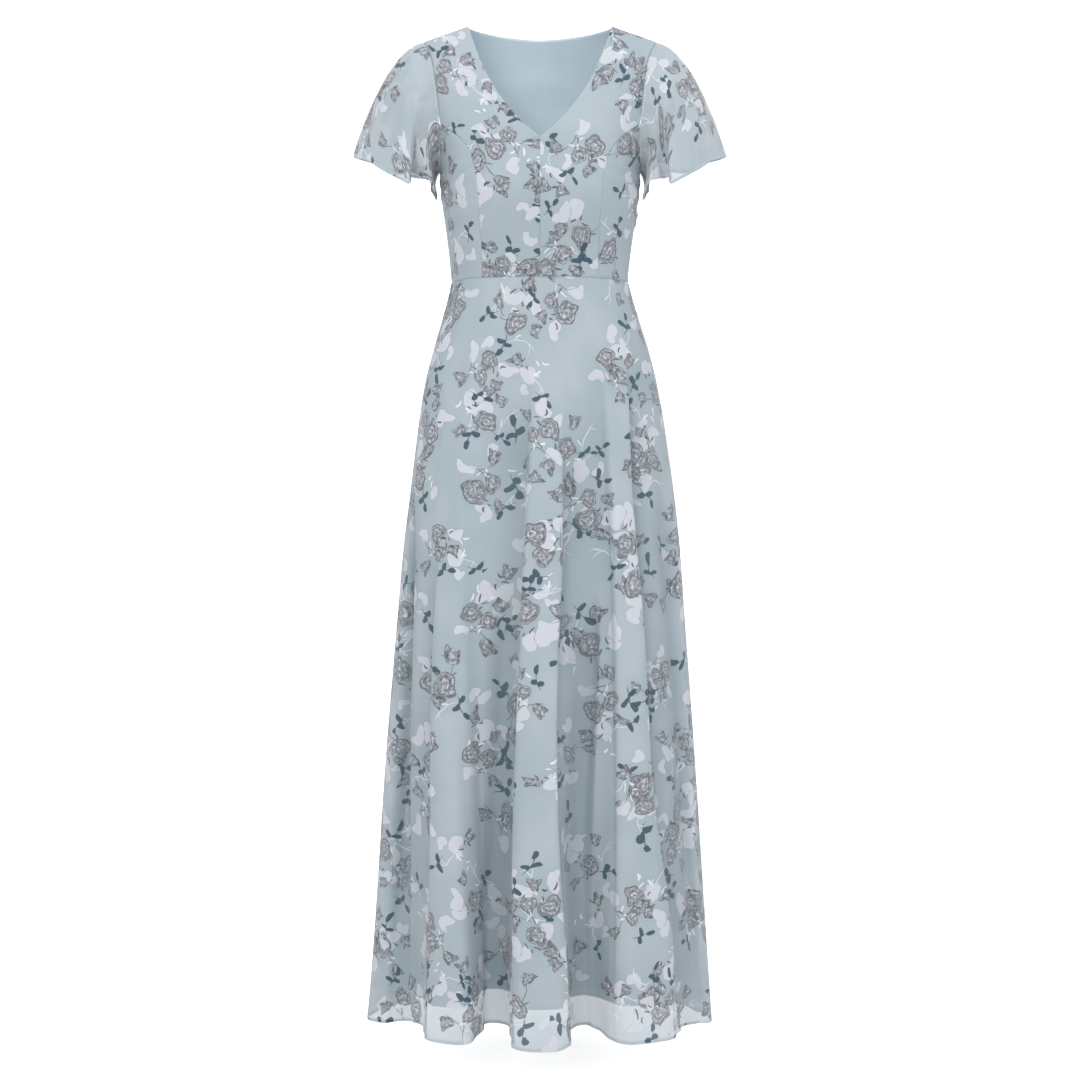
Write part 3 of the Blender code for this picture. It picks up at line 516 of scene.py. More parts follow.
def cut_map(tree):
    """Places on the flat cut, in metres."""
    return made(tree, "UVMap", {}, uv_map="cut")[0]


def embossed(tree, shader, height, strength, distance):
    """Gives a material's surface the relief of a height."""
    relief = made(tree, "Bump", {"Height": height, "Strength": strength, "Distance": distance})
    tree.links.new(relief[0], shader["Normal"])


def weave_group():
    """Threads crossing at right angles: the height is the higher of two squared sines over the cut, and a
    slow noise makes some threads thicker, as slubs."""
    tree, given, result = new_group("weave", {"Vector": (0, 0, 0), "Pitch": 0.0005}, {"Height": "Float"})
    turns = sums(tree, "DIVIDE", math.pi, given["Pitch"])
    threads = arrows(tree, "SINE", scaled(tree, given["Vector"], turns))
    square = made(tree, "SeparateXYZ", {0: arrows(tree, "MULTIPLY", threads, threads)})
    higher = sums(tree, "MAXIMUM", square["X"], square["Y"])
    slubs = noise(tree, given["Vector"], 900.0, 2.0)[0]
    tree.links.new(sums(tree, "MULTIPLY_ADD", slubs, 0.8, higher), result["Height"])
    return tree


def lining_material():
    """Plain blue-grey polyester: a smooth satin face, clouded a little where the cloth has been pressed."""
    constants = {"Specular_IOR_Level": 0.35, "Sheen_Weight": 0.12, "Sheen_Roughness": 0.4}
    material, tree, shader = new_material("plain_lining", **constants)
    cut = cut_map(tree)
    clouds = noise(tree, cut, 14.0, 3.0)[0]
    tree.links.new(shaded(tree, clouds, LINING_TINTS), shader["Base Color"])
    tree.links.new(sums(tree, "MULTIPLY_ADD", clouds, 0.14, 0.48), shader["Roughness"])
    embossed(tree, shader, placed(tree, weave, Vector=cut, Pitch=0.0005)["Height"], 0.25, 0.0001)
    return material


weave = weave_group()
plain_lining = lining_material()
centre_grid = centre_front_grid(BODICE_DETAIL)
side_grid = side_front_grid(BODICE_DETAIL)
back_grid = half_back_grid(BODICE_DETAIL)
x, y, z = np.moveaxis(torso(back_grid[..., 0], back_grid[..., 1]), -1, 0)
drape = bell(x, DRAPE_REACH_X) * bell(z - DRAPE_Z, DRAPE_REACH_Z)
waves = 1 + np.sin(2 * math.pi * (7 * np.hypot(x, 0.03) + 13 * z))
back_depth = BODICE_LINING_DEPTH + DRAPE_HEIGHT * drape * waves
front_patches = []
for side in (1, -1):
    front_patches.append(bodice_patch(centre_grid, 0.0, side, BODICE_LINING_DEPTH, (0.0, 0.0)))
    front_patches.append(bodice_patch(side_grid, 0.0, side, BODICE_LINING_DEPTH, (0.0, 0.0)))
back_patches = [bodice_patch(back_grid, 180.0, side, back_depth, (0.0, 0.6)) for side in (1, -1)]
for node, patches in (("bodice_lining_front", front_patches), ("bodice_lining_back", back_patches)):
    panel(node, patches, plain_lining, thickness=LINING_THICKNESS)


# ---------------------------------------------------------------------------------------------------
# Skirt lining: the same plain cloth, a front and a back sewn into the waist seam. It hangs free inside
# the chiffon, follows its flutes less deeply and ends 3 to 6 cm above its hem in a narrow turned hem.

SKIRT = table(
    "z half_width front back",
    (-0.360, 0.1312, 0.0985, 0.0905),
    (-0.375, 0.1318, 0.0985, 0.0905),
    (-0.400, 0.1372, 0.1010, 0.0960),
    (-0.430, 0.1462, 0.1050, 0.1040),
    (-0.462, 0.1562, 0.1100, 0.1130),
    (-0.500, 0.1672, 0.1160, 0.1220),
    (-0.570, 0.1822, 0.1250, 0.1340),
    (-0.642, 0.1936, 0.1330, 0.1430),
    (-0.750, 0.2062, 0.1420, 0.1530),
    (-0.900, 0.2184, 0.1530, 0.1640),
    (-1.050, 0.2302, 0.1630, 0.1740),
    (-1.200, 0.2412, 0.1720, 0.1830),
    (-1.350, 0.2518, 0.1800, 0.1910),
    (-1.500, 0.2626, 0.1880, 0.1990),
)
SKIRT_STEPS = (0.02, 0.002)
SKIRT_HEM_Z = -1.500
FLUTE_GROWTH = 1.1

# One row for each crest and valley of the flutes, from the centre front by way of the wearer's left.
FLUTES = table(
    "waist_angle x y hem_z lining_z start_z round",
    (2.0, 0.003, -0.186, -1.4920, -1.434, -0.50, 4.0),
    (19.0, 0.066, -0.092, -1.4800, -1.436, -0.46, 2.2),
    (38.0, 0.142, -0.152, -1.4910, -1.438, -0.47, 3.8),
    (60.0, 0.219, -0.056, -1.4930, -1.455, -0.52, 2.0),
    (97.0, 0.262, 0.012, -1.5010, -1.474, -0.50, 2.6),
    (115.0, 0.206, 0.074, -1.4900, -1.452, -0.50, 1.8),
    (131.0, 0.166, 0.146, -1.4960, -1.444, -0.52, 3.6),
    (148.0, 0.102, 0.098, -1.4840, -1.440, -0.56, 2.2),
    (162.0, 0.062, 0.192, -1.4980, -1.442, -0.50, 3.6),
    (177.0, 0.004, 0.108, -1.4840, -1.440, -0.54, 2.4),
    (194.0, -0.062, 0.196, -1.4980, -1.443, -0.55, 3.8),
    (212.0, -0.108, 0.096, -1.4850, -1.440, -0.52, 2.2),
    (230.0, -0.170, 0.140, -1.4970, -1.445, -0.50, 3.4),
    (247.0, -0.206, 0.070, -1.4890, -1.452, -0.55, 1.8),
    (263.0, -0.262, 0.012, -1.5000, -1.462, -0.50, 2.8),
    (299.0, -0.182, -0.050, -1.4910, -1.452, -0.50, 2.0),
    (318.0, -0.131, -0.152, -1.4910, -1.441, -0.48, 4.0),
    (338.0, -0.067, -0.090, -1.4780, -1.428, -0.46, 2.4),
)

FLUTE_COUNT = len(FLUTES["x"])

# The main folds: the side on which the fold's crest lies, its height, how soft its edge is, and a line
# of heights and places along the flute table.
CREASES = (
    (1, 0.0034, 0.0040, ((-0.49, -0.10), (-0.67, -0.18), (-0.90, -0.28), (-1.22, -0.33), (-1.50, -0.30))),
    (-1, 0.0034, 0.0040, ((-0.56, 0.33), (-0.78, 0.26), (-0.92, 0.15), (-1.21, 0.14), (-1.50, 0.36))),
    (1, 0.0036, 0.0040, ((-0.74, -2.20), (-0.99, -2.25), (-1.22, -2.21), (-1.50, -2.33))),
    (-1, 0.0022, 0.0080, ((-0.78, -1.00), (-0.90, -1.05), (-1.23, -1.17), (-1.50, -1.35))),
    (1, 0.0026, 0.0070, ((-0.80, 1.36), (-0.90, 1.32), (-1.22, 1.12), (-1.50, 1.16))),
    (-1, 0.0032, 0.0045, ((-0.45, 2.50), (-0.63, 2.14), (-0.90, 2.21), (-1.14, 2.25), (-1.50, 2.80))),
    (1, 0.0014, 0.0060, ((-0.44, 1.84), (-0.62, 1.67), (-0.80, 1.74), (-1.50, 1.80))),
    (1, 0.0026, 0.0050, ((-0.62, 3.42), (-0.95, 3.50), (-1.50, 3.58))),
    (1, 0.0026, 0.0055, ((-0.55, -3.30), (-0.95, -3.20), (-1.50, -3.12))),
    (-1, 0.0030, 0.0045, ((-0.60, 4.30), (-1.00, 4.38), (-1.50, 4.30))),
    (1, 0.0032, 0.0045, ((-0.52, 5.75), (-0.90, 5.68), (-1.50, 5.72))),
    (-1, 0.0028, 0.0055, ((-0.70, 6.34), (-1.10, 6.42), (-1.50, 6.30))),
    (1, 0.0032, 0.0040, ((-0.58, 7.74), (-0.95, 7.66), (-1.50, 7.70))),
    (-1, 0.0030, 0.0045, ((-0.50, 8.30), (-0.90, 8.24), (-1.50, 8.36))),
    (1, 0.0030, 0.0045, ((-0.66, 9.72), (-1.10, 9.80), (-1.50, 9.70))),
    (-1, 0.0034, 0.0040, ((-0.54, 10.36), (-0.95, 10.28), (-1.50, 10.33))),
    (1, 0.0028, 0.0050, ((-0.72, 11.70), (-1.10, 11.62), (-1.50, 11.72))),
    (-1, 0.0030, 0.0045, ((-0.56, 12.28), (-1.00, 12.36), (-1.50, 12.30))),
    (-1, 0.0026, 0.0055, ((-0.64, 14.36), (-1.00, 14.30), (-1.50, 14.40))),
)
ROW_ARC = 0.055
ROW_ARC_GROWTH = 0.050
FOLDS_TOP_Z = -0.45
FOLD_FADE_IN = 0.16
FOLD_FADE_OUT_Z = -1.16
FOLD_FADE_OUT = 0.30
FOLD_LOSS = 0.7
FOLD_GAIN = 1.5
CREST_WIDTH = 0.026
HOLLOW = 3.1
HOLLOW_WIDTH = 0.033
HOLLOW_SHIFT = 2.2
BROAD_WAVE = 0.0016
MIDDLE_WAVE = 0.0013
FINE_WAVE = 0.0007
PLEAT = 0.0007
PLEAT_Z = -0.405
PLEAT_REACH = 0.035
FRONT_ROWS = (-4, 4)
BACK_ROWS = (4, 14)
WALL = 0.0011
LINING_GAP = 0.0005
LINING_GAP_BELOW = 0.0040
LINING_GAP_FULL_Z = -0.50
LINING_CREST_GAP = 0.0080
TURNED_HEM = 0.018
TURNED_LAYER = 0.0002


def smooth(t):
    """t held between 0 and 1 and level at both: t * t * (3 - 2 t)."""
    t = np.clip(t, 0, 1)
    return t * t * (3 - 2 * t)


def flute_column(name):
    """A column of the flute table with its first row repeated at the end, a full turn on."""
    values = FLUTES[name]
    return np.append(values, values[0] + (360 if name == "waist_angle" else 0))


def flute_angle(place):
    """The angle round the waist of a place along the flute table."""
    return spline(np.mod(place, FLUTE_COUNT), np.arange(FLUTE_COUNT + 1.0), flute_column("waist_angle"))


def eased(place, values):
    """Values between rows, level at each row."""
    row = np.clip(np.floor(place).astype(int), 0, len(values) - 2)
    ease = smooth(place - row)
    return values[row] * (1 - ease) + values[row + 1] * ease


def looped_curve(place, loop):
    """A closed cubic curve through a table's crests and valleys, whose tangent at each runs from the one
    before to the one after, with its roundness times half the distance to the next as its length."""
    points = np.stack([loop["x"], loop["y"]], axis=-1)
    row = np.mod(np.floor(place).astype(int), len(points))
    following = np.mod(row + 1, len(points))
    t = (place - np.floor(place))[..., None]
    along = unit(np.roll(points, -1, axis=0) - np.roll(points, 1, axis=0)) * loop["round"][:, None]
    reach = np.linalg.norm(points[following] - points[row], axis=-1, keepdims=True) * 0.5
    return hermite(t, points[row], along[row] * reach, points[following], along[following] * reach)


def skirt(place, z):
    """The skirt's outside: round rings that turn into the fluted hem's ring, by the share of the way down
    from where each flute starts, to the power of the growth."""
    half_width, front, back = sized(z, SKIRT)
    x_round, y_round = ring(flute_angle(place), half_width, front, back)
    wrapped = np.mod(place, FLUTE_COUNT)
    hem = looped_curve(wrapped, FLUTES)
    x_fluted = hem[..., 0] * half_width / SKIRT["half_width"][-1]
    y_fluted = hem[..., 1] * np.where(hem[..., 1] < 0, front / SKIRT["front"][-1], back / SKIRT["back"][-1])
    start = eased(wrapped, flute_column("start_z"))
    grown = np.clip((start - z) / (start - SKIRT_HEM_Z), 0, 1.05) ** FLUTE_GROWTH
    x = x_round + (x_fluted - x_round) * grown
    y = y_round + (y_fluted - y_round) * grown
    return np.stack([x, y, z + 0 * x], axis=-1)


def creases(place, z):
    """The main folds that hang from the hip, in metres off the flutes. Each follows its table line down
    the skirt: a bell over the arc length from the line, broad towards its crest and steep at its edge,
    less a hollow beyond the edge that is steep on the edge's side and broad on the other, all fading in
    below the line's top and mostly out again above the hem."""
    arc = ROW_ARC + ROW_ARC_GROWTH * np.clip((FOLDS_TOP_Z - z) / (FOLDS_TOP_Z - SKIRT_HEM_Z), 0, 1)
    fade = FOLD_GAIN * (1 - FOLD_LOSS * smooth((FOLD_FADE_OUT_Z - z) / FOLD_FADE_OUT))
    off = np.zeros(place.shape)
    for crest_side, height, softness, line in CREASES:
        heights, places = np.array(line).T
        half_turn = FLUTE_COUNT / 2
        shift = np.mod(place - spline(z, heights, places) + half_turn, FLUTE_COUNT) - half_turn
        u = shift * arc * crest_side
        v = u + HOLLOW_SHIFT * softness
        rise = bell(u, np.where(u > 0, CREST_WIDTH, softness))
        hollow = bell(v, np.where(v > 0, softness, HOLLOW_WIDTH))
        off = off + height * smooth((heights[0] - z) / FOLD_FADE_IN) * fade * (rise - HOLLOW * hollow)
    return off


def skirt_folds(place, z):
    """The smaller folds of the hanging cloth, in metres off the flutes: waves round the skirt whose number
    is whole, so that they close on themselves, each wandering and fading in and out down the skirt, and
    small eased pleats that die out below the waist seam."""
    turn = 2 * math.pi * place / FLUTE_COUNT
    below = np.clip((WAIST_SIDE_Z - z) / 0.10, 0, 1)
    low = np.clip(FOLDS_TOP_Z - z, 0, 1)
    broad = np.sin(13 * turn + 1.9 + 1.1 * np.sin(3.1 * z + 2 * turn))
    middle = np.sin(23 * turn + 0.6 + 1.6 * np.sin(4.3 * z + 3 * turn)) * np.sin(2.2 * z + 5 * turn + 0.7)
    fine = np.sin(41 * turn + 2.0 * np.sin(5.7 * z)) * np.sin(3.0 * z + 7 * turn)
    pleats = np.sin(64 * turn + 1.5 * np.sin(5 * turn)) * bell(z - PLEAT_Z, PLEAT_REACH)
    swell = 0.5 + 0.5 * np.sin(4 * turn + 1.0)
    waves = BROAD_WAVE * broad + MIDDLE_WAVE * middle * (0.4 + low) + FINE_WAVE * fine * low
    return below * waves + PLEAT * pleats * swell + creases(place, z)


def skirt_grid(rows_round, steps_round, steps_down, hem_name):
    """Places along the flute table and heights for one panel, from its edge up to the waist."""
    place = np.linspace(rows_round[0], rows_round[1], (rows_round[1] - rows_round[0]) * steps_round + 1)
    top = waist_z(flute_angle(place))
    hem = eased(np.mod(place, FLUTE_COUNT), flute_column(hem_name))
    down = np.linspace(1, 0, steps_down + 1)[:, None]
    return place[None] + 0 * down, top[None] + (hem - top)[None] * down


def off_skirt(points, place, z, off):
    """Points of the skirt moved off it along its normals."""
    return points + outward(skirt, place, z, SKIRT_STEPS) * off[..., None]


def fan_cut(points, place, fullness=1.0):
    """A flared panel's flat cut: a piece of a fan whose spread is the growth of its width for each metre
    down, times a fullness, with its lower middle at a place on the roll of cloth."""
    across = arcs(points, 1)
    upward = arcs(points, 0)
    down = upward[-1:] - upward
    growth, narrow = np.polyfit(down.mean(axis=1), across[:, -1], 1)
    turn = (across / across[:, -1:] - 0.5) * growth * fullness
    radius = narrow / growth + down
    cut = np.stack([radius * np.sin(turn), narrow / growth - radius * np.cos(turn)], axis=-1)
    return cut + np.array(place)


def lining_depth(place, z):
    """How far the lining lies inside the chiffon: more below the hip and inside each crest."""
    below = np.clip((WAIST_SIDE_Z - z) / (WAIST_SIDE_Z - LINING_GAP_FULL_Z), 0, 1)
    low = np.clip((LINING_GAP_FULL_Z - z) / (LINING_GAP_FULL_Z - SKIRT_HEM_Z), 0, 1)
    crest = 0.5 + 0.5 * np.cos(np.pi * place)
    gap = LINING_GAP + (LINING_GAP_BELOW - LINING_GAP) * below
    return WALL + gap + LINING_CREST_GAP * crest * low


for side, rows_round, place_on_roll in (("front", FRONT_ROWS, (0.6, 0.0)), ("back", BACK_ROWS, (2.0, 0.0))):
    place, z = skirt_grid(rows_round, 24, 120, "lining_z")
    bare = skirt(place, z)
    turned = TURNED_LAYER * (1 - np.tanh((arcs(bare, 0) - TURNED_HEM) / 0.0015))
    points = off_skirt(bare, place, z, skirt_folds(place, z) - lining_depth(place, z) + turned)
    patch = flat_patch(points, fan_cut(points, place_on_roll))
    panel("skirt_lining_" + side, [patch], plain_lining, thickness=LINING_THICKNESS)


# ---------------------------------------------------------------------------------------------------
# Bodice chiffon: sheer printed crepe chiffon over the lining, cut in four front panels with princess
# seams and a seam down the centre front, and a plain back. The seams draw the cloth in and pucker it.

SEAM_DIP = 0.0013
NECK_DIP = 0.0012
SEAM_REACH = 0.0013
PUCKER = 0.00013
PUCKER_REACH = 0.0060
ZIP_TOP_Z = -0.2700
ZIP_BOTTOM_Z = -0.5600
ZIP_DIP = 0.0017
CHIFFON_COVER = 0.78
PRINT_COVER = 0.16
# How far the back faces turn to the wrong side's tone, which is darker as painted shade:
WRONG_SIDE_SHARE = 0.7

# The print: the ground's two tones; painted shade, the dark tone that the chiffon is blended towards in the
# hollow of a fold, and how strongly; the wrong side's tone, made darker as painted shade for the dress's
# inside; the sprays, each with the shift, turn, spacing, size and bareness of its layer and its parts
# (motif, place, turn in degrees and size) in the order they are laid down; the inks; the shades of the drawn
# flowers from dark to light; a brush's soft edge and a petal's rim, as shares of the motif; and the strokes
# of each brushed motif, with their place, turn in degrees, length, width, bend and, for a bud, lightness.
GROUND_DEEP = (0.402, 0.475, 0.518, 1.0)
GROUND_PALE = (0.468, 0.525, 0.562, 1.0)
# Painted shade: the dark tone laid on in the hollow of a fold, and below it the wrong side's tone, darker as
# painted shade.
PAINTED_HOLLOW_SHADE = (0.115, 0.165, 0.190, 1.0)
WRONG_SIDE_PAINTED_SHADE = (0.275, 0.278, 0.262, 1.0)
PAINTED_SHADE_SHARE = 0.31
SPRAYS = (
    (
        ((3.310, 1.070, 0.0), 61, 0.124, 0.060, 0.12),
        (
            ("wash", -0.10, 0.10, 50, 0.27),
            ("wash", 0.26, 0.24, 110, 0.20),
            ("pale_stem", 0.10, -0.20, 330, 0.44),
            ("leaves", 0.50, -0.28, 300, 0.31),
            ("bud", -0.52, 0.34, 140, 0.27),
            ("pale_flicks", -0.22, -0.34, 80, 0.30),
            ("flicks", -0.36, 0.06, 0, 0.24),
        ),
    ),
    (
        ((0.130, 0.440, 0.0), 17, 0.140, 0.066, 0.12),
        (
            ("wash", -0.52, 0.32, 20, 0.26),
            ("wash", -0.32, 0.56, 80, 0.20),
            ("wash", 0.62, -0.36, 140, 0.20),
            ("pale_stem", -0.20, -0.42, 205, 0.42),
            ("stem", 0.34, 0.36, 62, 0.44),
            ("leaves", 0.20, -0.46, 250, 0.29),
            ("bud", 0.44, 0.60, 58, 0.25),
            ("bud", -0.56, -0.22, 196, 0.24),
            ("flicks", -0.12, 0.32, 30, 0.23),
            ("rose", 0.04, 0.04, 0, 0.270),
        ),
    ),
    (
        ((1.710, 0.230, 0.0), -38, 0.136, 0.062, 0.12),
        (
            ("wash", 0.46, 0.38, 200, 0.25),
            ("wash", 0.12, -0.64, 75, 0.22),
            ("stem", -0.30, -0.32, 150, 0.48),
            ("leaves", -0.44, 0.38, 35, 0.31),
            ("bud", -0.62, -0.38, 208, 0.27),
            ("bud", 0.06, 0.48, 70, 0.25),
            ("rose", 0.32, -0.14, 0, 0.275),
            ("rose", -0.14, 0.02, 0, 0.215),
            ("flicks", 0.36, 0.20, 60, 0.24),
            ("pale_flicks", -0.14, -0.34, 10, 0.22),
        ),
    ),
)
INKS = {
    "wash": (0.588, 0.604, 0.652, 1.0),
    "stem": (0.150, 0.168, 0.190, 1.0),
    "pale_stem": (0.660, 0.690, 0.740, 1.0),
    "leaves": (0.038, 0.078, 0.108, 1.0),
    "flicks": (0.085, 0.100, 0.115, 1.0),
    "pale_flicks": (0.730, 0.745, 0.780, 1.0),
}
FLOWER_SHADES = (
    (0.02, (0.060, 0.068, 0.080, 1.0)),
    (0.34, (0.200, 0.212, 0.230, 1.0)),
    (0.62, (0.320, 0.338, 0.362, 1.0)),
    (0.95, (0.660, 0.680, 0.715, 1.0)),
)
STROKE_EDGE = 0.030
PETAL_RIM = 0.070
BUD_PETALS = (
    (0.02, 0.27, 15, 0.62, 0.25, 0.16, 0.42),
    (0.02, -0.27, -15, 0.62, 0.25, -0.16, 0.34),
    (-0.10, 0.00, 2, 0.66, 0.31, 0.06, 0.56),
)
STROKES = {
    "wash": (
        (0.12, 0.06, 72, 0.90, 0.50, 0.18),
        (-0.30, -0.20, 18, 0.80, 0.40, 0.14),
    ),
    "stem": (
        (0.0, 0.0, 0, 0.98, 0.026, 0.30),
        (0.45, 0.24, 60, 0.30, 0.024, 0.06),
        (-0.38, -0.14, -50, 0.20, 0.050, 0.05),
    ),
    "leaves": (
        (0.0, 0.0, 25, 0.98, 0.036, 0.16),
        (0.60, 0.44, 48, 0.36, 0.21, 0.06),
        (0.16, -0.20, -40, 0.38, 0.20, -0.06),
        (-0.40, 0.16, 130, 0.38, 0.20, 0.08),
    ),
    "flicks": (
        (-0.50, 0.30, 40, 0.34, 0.085, 0.10),
        (0.10, 0.56, 75, 0.28, 0.075, -0.06),
        (0.46, -0.24, -20, 0.36, 0.090, 0.10),
    ),
}


def softly(tree, value, low, high):
    """0 below low, 1 above high and a smooth step between; low may lie above high."""
    wired = {"Value": value, "From Min": low, "From Max": high}
    return made(tree, "MapRange", wired, interpolation_type="SMOOTHSTEP")["Result"]


def blended(tree, share, under, over):
    """The colour under with a share of the colour over on it."""
    return made(tree, "Mix", {0: share, 6: under, 7: over}, data_type="RGBA")[2]


def clamped(tree, value, factor, offset):
    """A value times a factor plus an offset, held between 0 and 1."""
    return made(tree, "Math", {0: value, 1: factor, 2: offset}, operation="MULTIPLY_ADD", use_clamp=True)[0]


def brush_stroke_group():
    """How far a point lies inside one stroke: a blunt lens along Ahead, its half width Width less the
    fourth power of the share of its length, whose middle line bends as a parabola."""
    takes = {label: (0, 0, 0) for label in ("Vector", "Place", "Ahead", "Aside")}
    takes.update({"Width": 0.3, "Narrowing": -0.3, "Bend": 0.0})
    tree, given, result = new_group("brush_stroke", takes, {"Inside": "Float"})
    local = arrows(tree, "SUBTRACT", given["Vector"], given["Place"])
    along = arrows(tree, "DOT_PRODUCT", local, given["Ahead"])
    square = sums(tree, "MULTIPLY", along, along)
    aside = arrows(tree, "DOT_PRODUCT", local, given["Aside"])
    bent = sums(tree, "ABSOLUTE", sums(tree, "MULTIPLY_ADD", square, given["Bend"], aside))
    fourth = sums(tree, "MULTIPLY", square, square)
    half = sums(tree, "MULTIPLY_ADD", fourth, given["Narrowing"], given["Width"])
    tree.links.new(sums(tree, "SUBTRACT", half, bent), result["Inside"])
    return tree


def stroked(tree, stroke, local, motif, values):
    """How far inside a motif's stroke, its place, turn, length, width and bend taken into the motif's."""
    x, y, turn, reach = motif
    across, upward, turned, length, width, bend = values
    c, s = math.cos(math.radians(turn)), math.sin(math.radians(turn))
    angle = math.radians(turn + turned)
    place = (x + reach * (c * across - s * upward), y + reach * (s * across + c * upward), 0)
    ahead = (math.cos(angle) / (reach * length), math.sin(angle) / (reach * length), 0)
    aside = (-math.sin(angle), math.cos(angle), 0)
    sizes = {"Width": reach * width, "Narrowing": -reach * width, "Bend": -reach * bend}
    return placed(tree, stroke, Vector=local, Place=place, Ahead=ahead, Aside=aside, **sizes)["Inside"]


def brushed(tree, stroke, local, motif, strokes):
    """The mask of a motif of brush strokes, from the deepest that a point lies inside any of them."""
    deepest = stroked(tree, stroke, local, motif, strokes[0])
    for values in strokes[1:]:
        deepest = sums(tree, "MAXIMUM", deepest, stroked(tree, stroke, local, motif, values))
    return clamped(tree, deepest, 1 / (STROKE_EDGE * motif[3]), 0.4)


def bud(tree, stroke, local, motif, speckle):
    """The mask and tone of a bud from the side: cupped petals, each a broad stroke with a dark rim, laid
    one on another."""
    mask, tone = 0.0, 0.4
    for *values, light in BUD_PETALS:
        inside = stroked(tree, stroke, local, motif, values)
        petal = clamped(tree, inside, 1 / (STROKE_EDGE * motif[3]), 0.4)
        rim = clamped(tree, inside, -1 / (PETAL_RIM * motif[3]), 1.25)
        shade = sums(tree, "MULTIPLY_ADD", rim, -0.42, light)
        tone = sums(tree, "MULTIPLY_ADD", sums(tree, "SUBTRACT", shade, tone), petal, tone)
        mask = sums(tree, "MAXIMUM", mask, petal)
    return mask, sums(tree, "ADD", tone, speckle)


def turned_by(tree, vector, angle):
    """A vector turned about the third axis."""
    return made(tree, "VectorRotate", {"Vector": vector, "Angle": angle}, rotation_type="Z_AXIS")[0]


def strewn_group():
    """Cells strewn over the cloth: each gives a local vector, turned, scaled and mirrored by chance, and
    is filled or bare by chance."""
    takes = {"Vector": (0, 0, 0), "Shift": (0, 0, 0), "Turn": 0.0}
    takes.update({"Spacing": 0.06, "Size": 0.02, "Bareness": 0.5})
    tree, given, result = new_group("strewn", takes, {"Local": "Vector", "Filled": "Float"})
    lattice = turned_by(tree, arrows(tree, "ADD", given["Vector"], given["Shift"]), given["Turn"])
    rate = sums(tree, "DIVIDE", 1.0, given["Spacing"])
    wired = {"Vector": lattice, "Scale": rate, "Randomness": 0.34}
    cells = made(tree, "TexVoronoi", wired, voronoi_dimensions="2D")
    chances = made(tree, "SeparateColor", {0: cells["Color"]})
    offset = arrows(tree, "SUBTRACT", lattice, cells["Position"])
    turned = turned_by(tree, offset, sums(tree, "MULTIPLY", chances[0], 2 * math.pi))
    size = sums(tree, "MULTIPLY", given["Size"], sums(tree, "MULTIPLY_ADD", chances[1], 0.20, 0.90))
    local = scaled(tree, turned, sums(tree, "DIVIDE", 1.0, size))
    mirror = sums(tree, "SIGN", sums(tree, "SUBTRACT", chances[1], 0.5))
    flipped = made(tree, "CombineXYZ", {0: 1.0, 1: mirror})[0]
    tree.links.new(arrows(tree, "MULTIPLY", local, flipped), result["Local"])
    tree.links.new(sums(tree, "GREATER_THAN", chances[2], given["Bareness"]), result["Filled"])
    return tree


def wavering(tree, vector, rate, reach):
    """A vector moved about by noise, as a hand-held brush would move it."""
    centred = arrows(tree, "SUBTRACT", noise(tree, vector, rate, 1.0, "2D")[1], (0.5, 0.5, 0.5))
    return arrows(tree, "ADD", vector, scaled(tree, centred, reach))


def polar(tree, local):
    """The distance from the middle and the angle of a local vector."""
    x = arrows(tree, "DOT_PRODUCT", local, (1, 0, 0))
    y = arrows(tree, "DOT_PRODUCT", local, (0, 1, 0))
    square = sums(tree, "MULTIPLY_ADD", x, x, sums(tree, "MULTIPLY", y, y))
    return sums(tree, "SQRT", square), sums(tree, "ARCTAN2", y, x)


def rose_group():
    """A drawn rose from above: petals along a spiral. The distance, swelled by absolute cosines so that
    the petals bulge, times the turns less the angle's share of a turn, gives how far out on its petal a
    point lies: dark at the root, pale at the tip, a broken dark line between petals and round the whole,
    and a pale heart."""
    takes = {"Vector": (0, 0, 0), "Grain": 0.5}
    tree, given, result = new_group("rose", takes, {"Mask": "Float", "Tone": "Float"})
    distance, angle = polar(tree, given["Vector"])
    chance = arrows(tree, "DOT_PRODUCT", given["Vector"], (0, 0, 1))
    broad = sums(tree, "ABSOLUTE", sums(tree, "COSINE", sums(tree, "MULTIPLY_ADD", angle, 1.5, chance)))
    narrow = sums(tree, "ABSOLUTE", sums(tree, "SINE", sums(tree, "MULTIPLY_ADD", angle, 2.5, chance)))
    swell = sums(tree, "MULTIPLY_ADD", narrow, -0.16, sums(tree, "MULTIPLY_ADD", broad, -0.18, 1.24))
    reached = sums(tree, "MULTIPLY", distance, swell)
    tree.links.new(softly(tree, reached, 1.03, 0.97), result["Mask"])
    turns = sums(tree, "MULTIPLY_ADD", reached, 2.3, chance)
    spiral = sums(tree, "MULTIPLY_ADD", angle, -1 / (2 * math.pi), turns)
    petal = sums(tree, "FRACT", spiral)
    broken = softly(tree, given["Grain"], 0.36, 0.56)
    line = sums(tree, "MULTIPLY", softly(tree, petal, 0.15, 0.04), broken)
    rim = sums(tree, "MULTIPLY", softly(tree, reached, 0.87, 0.96), broken)
    heart = softly(tree, reached, 0.60, 0.20)
    tip = softly(tree, petal, 0.25, 0.95)
    shade = sums(tree, "MULTIPLY_ADD", tip, 0.26, 0.37)
    shade = sums(tree, "MULTIPLY_ADD", heart, 0.13, shade)
    shade = sums(tree, "MULTIPLY_ADD", line, -0.44, shade)
    shade = sums(tree, "MULTIPLY_ADD", rim, -0.30, shade)
    tree.links.new(shade, result["Tone"])
    return tree


def spotted(tree, local, motif, chance):
    """A vector in a motif's own place, turn and size, with a number of its own as its third part."""
    x, y, turn, reach = motif
    c, s = math.cos(math.radians(turn)) / reach, math.sin(math.radians(turn)) / reach
    across = sums(tree, "SUBTRACT", arrows(tree, "DOT_PRODUCT", local, (c, s, 0)), x * c + y * s)
    upward = sums(tree, "SUBTRACT", arrows(tree, "DOT_PRODUCT", local, (-s, c, 0)), y * c - x * s)
    return made(tree, "CombineXYZ", {0: across, 1: upward, 2: chance})[0]


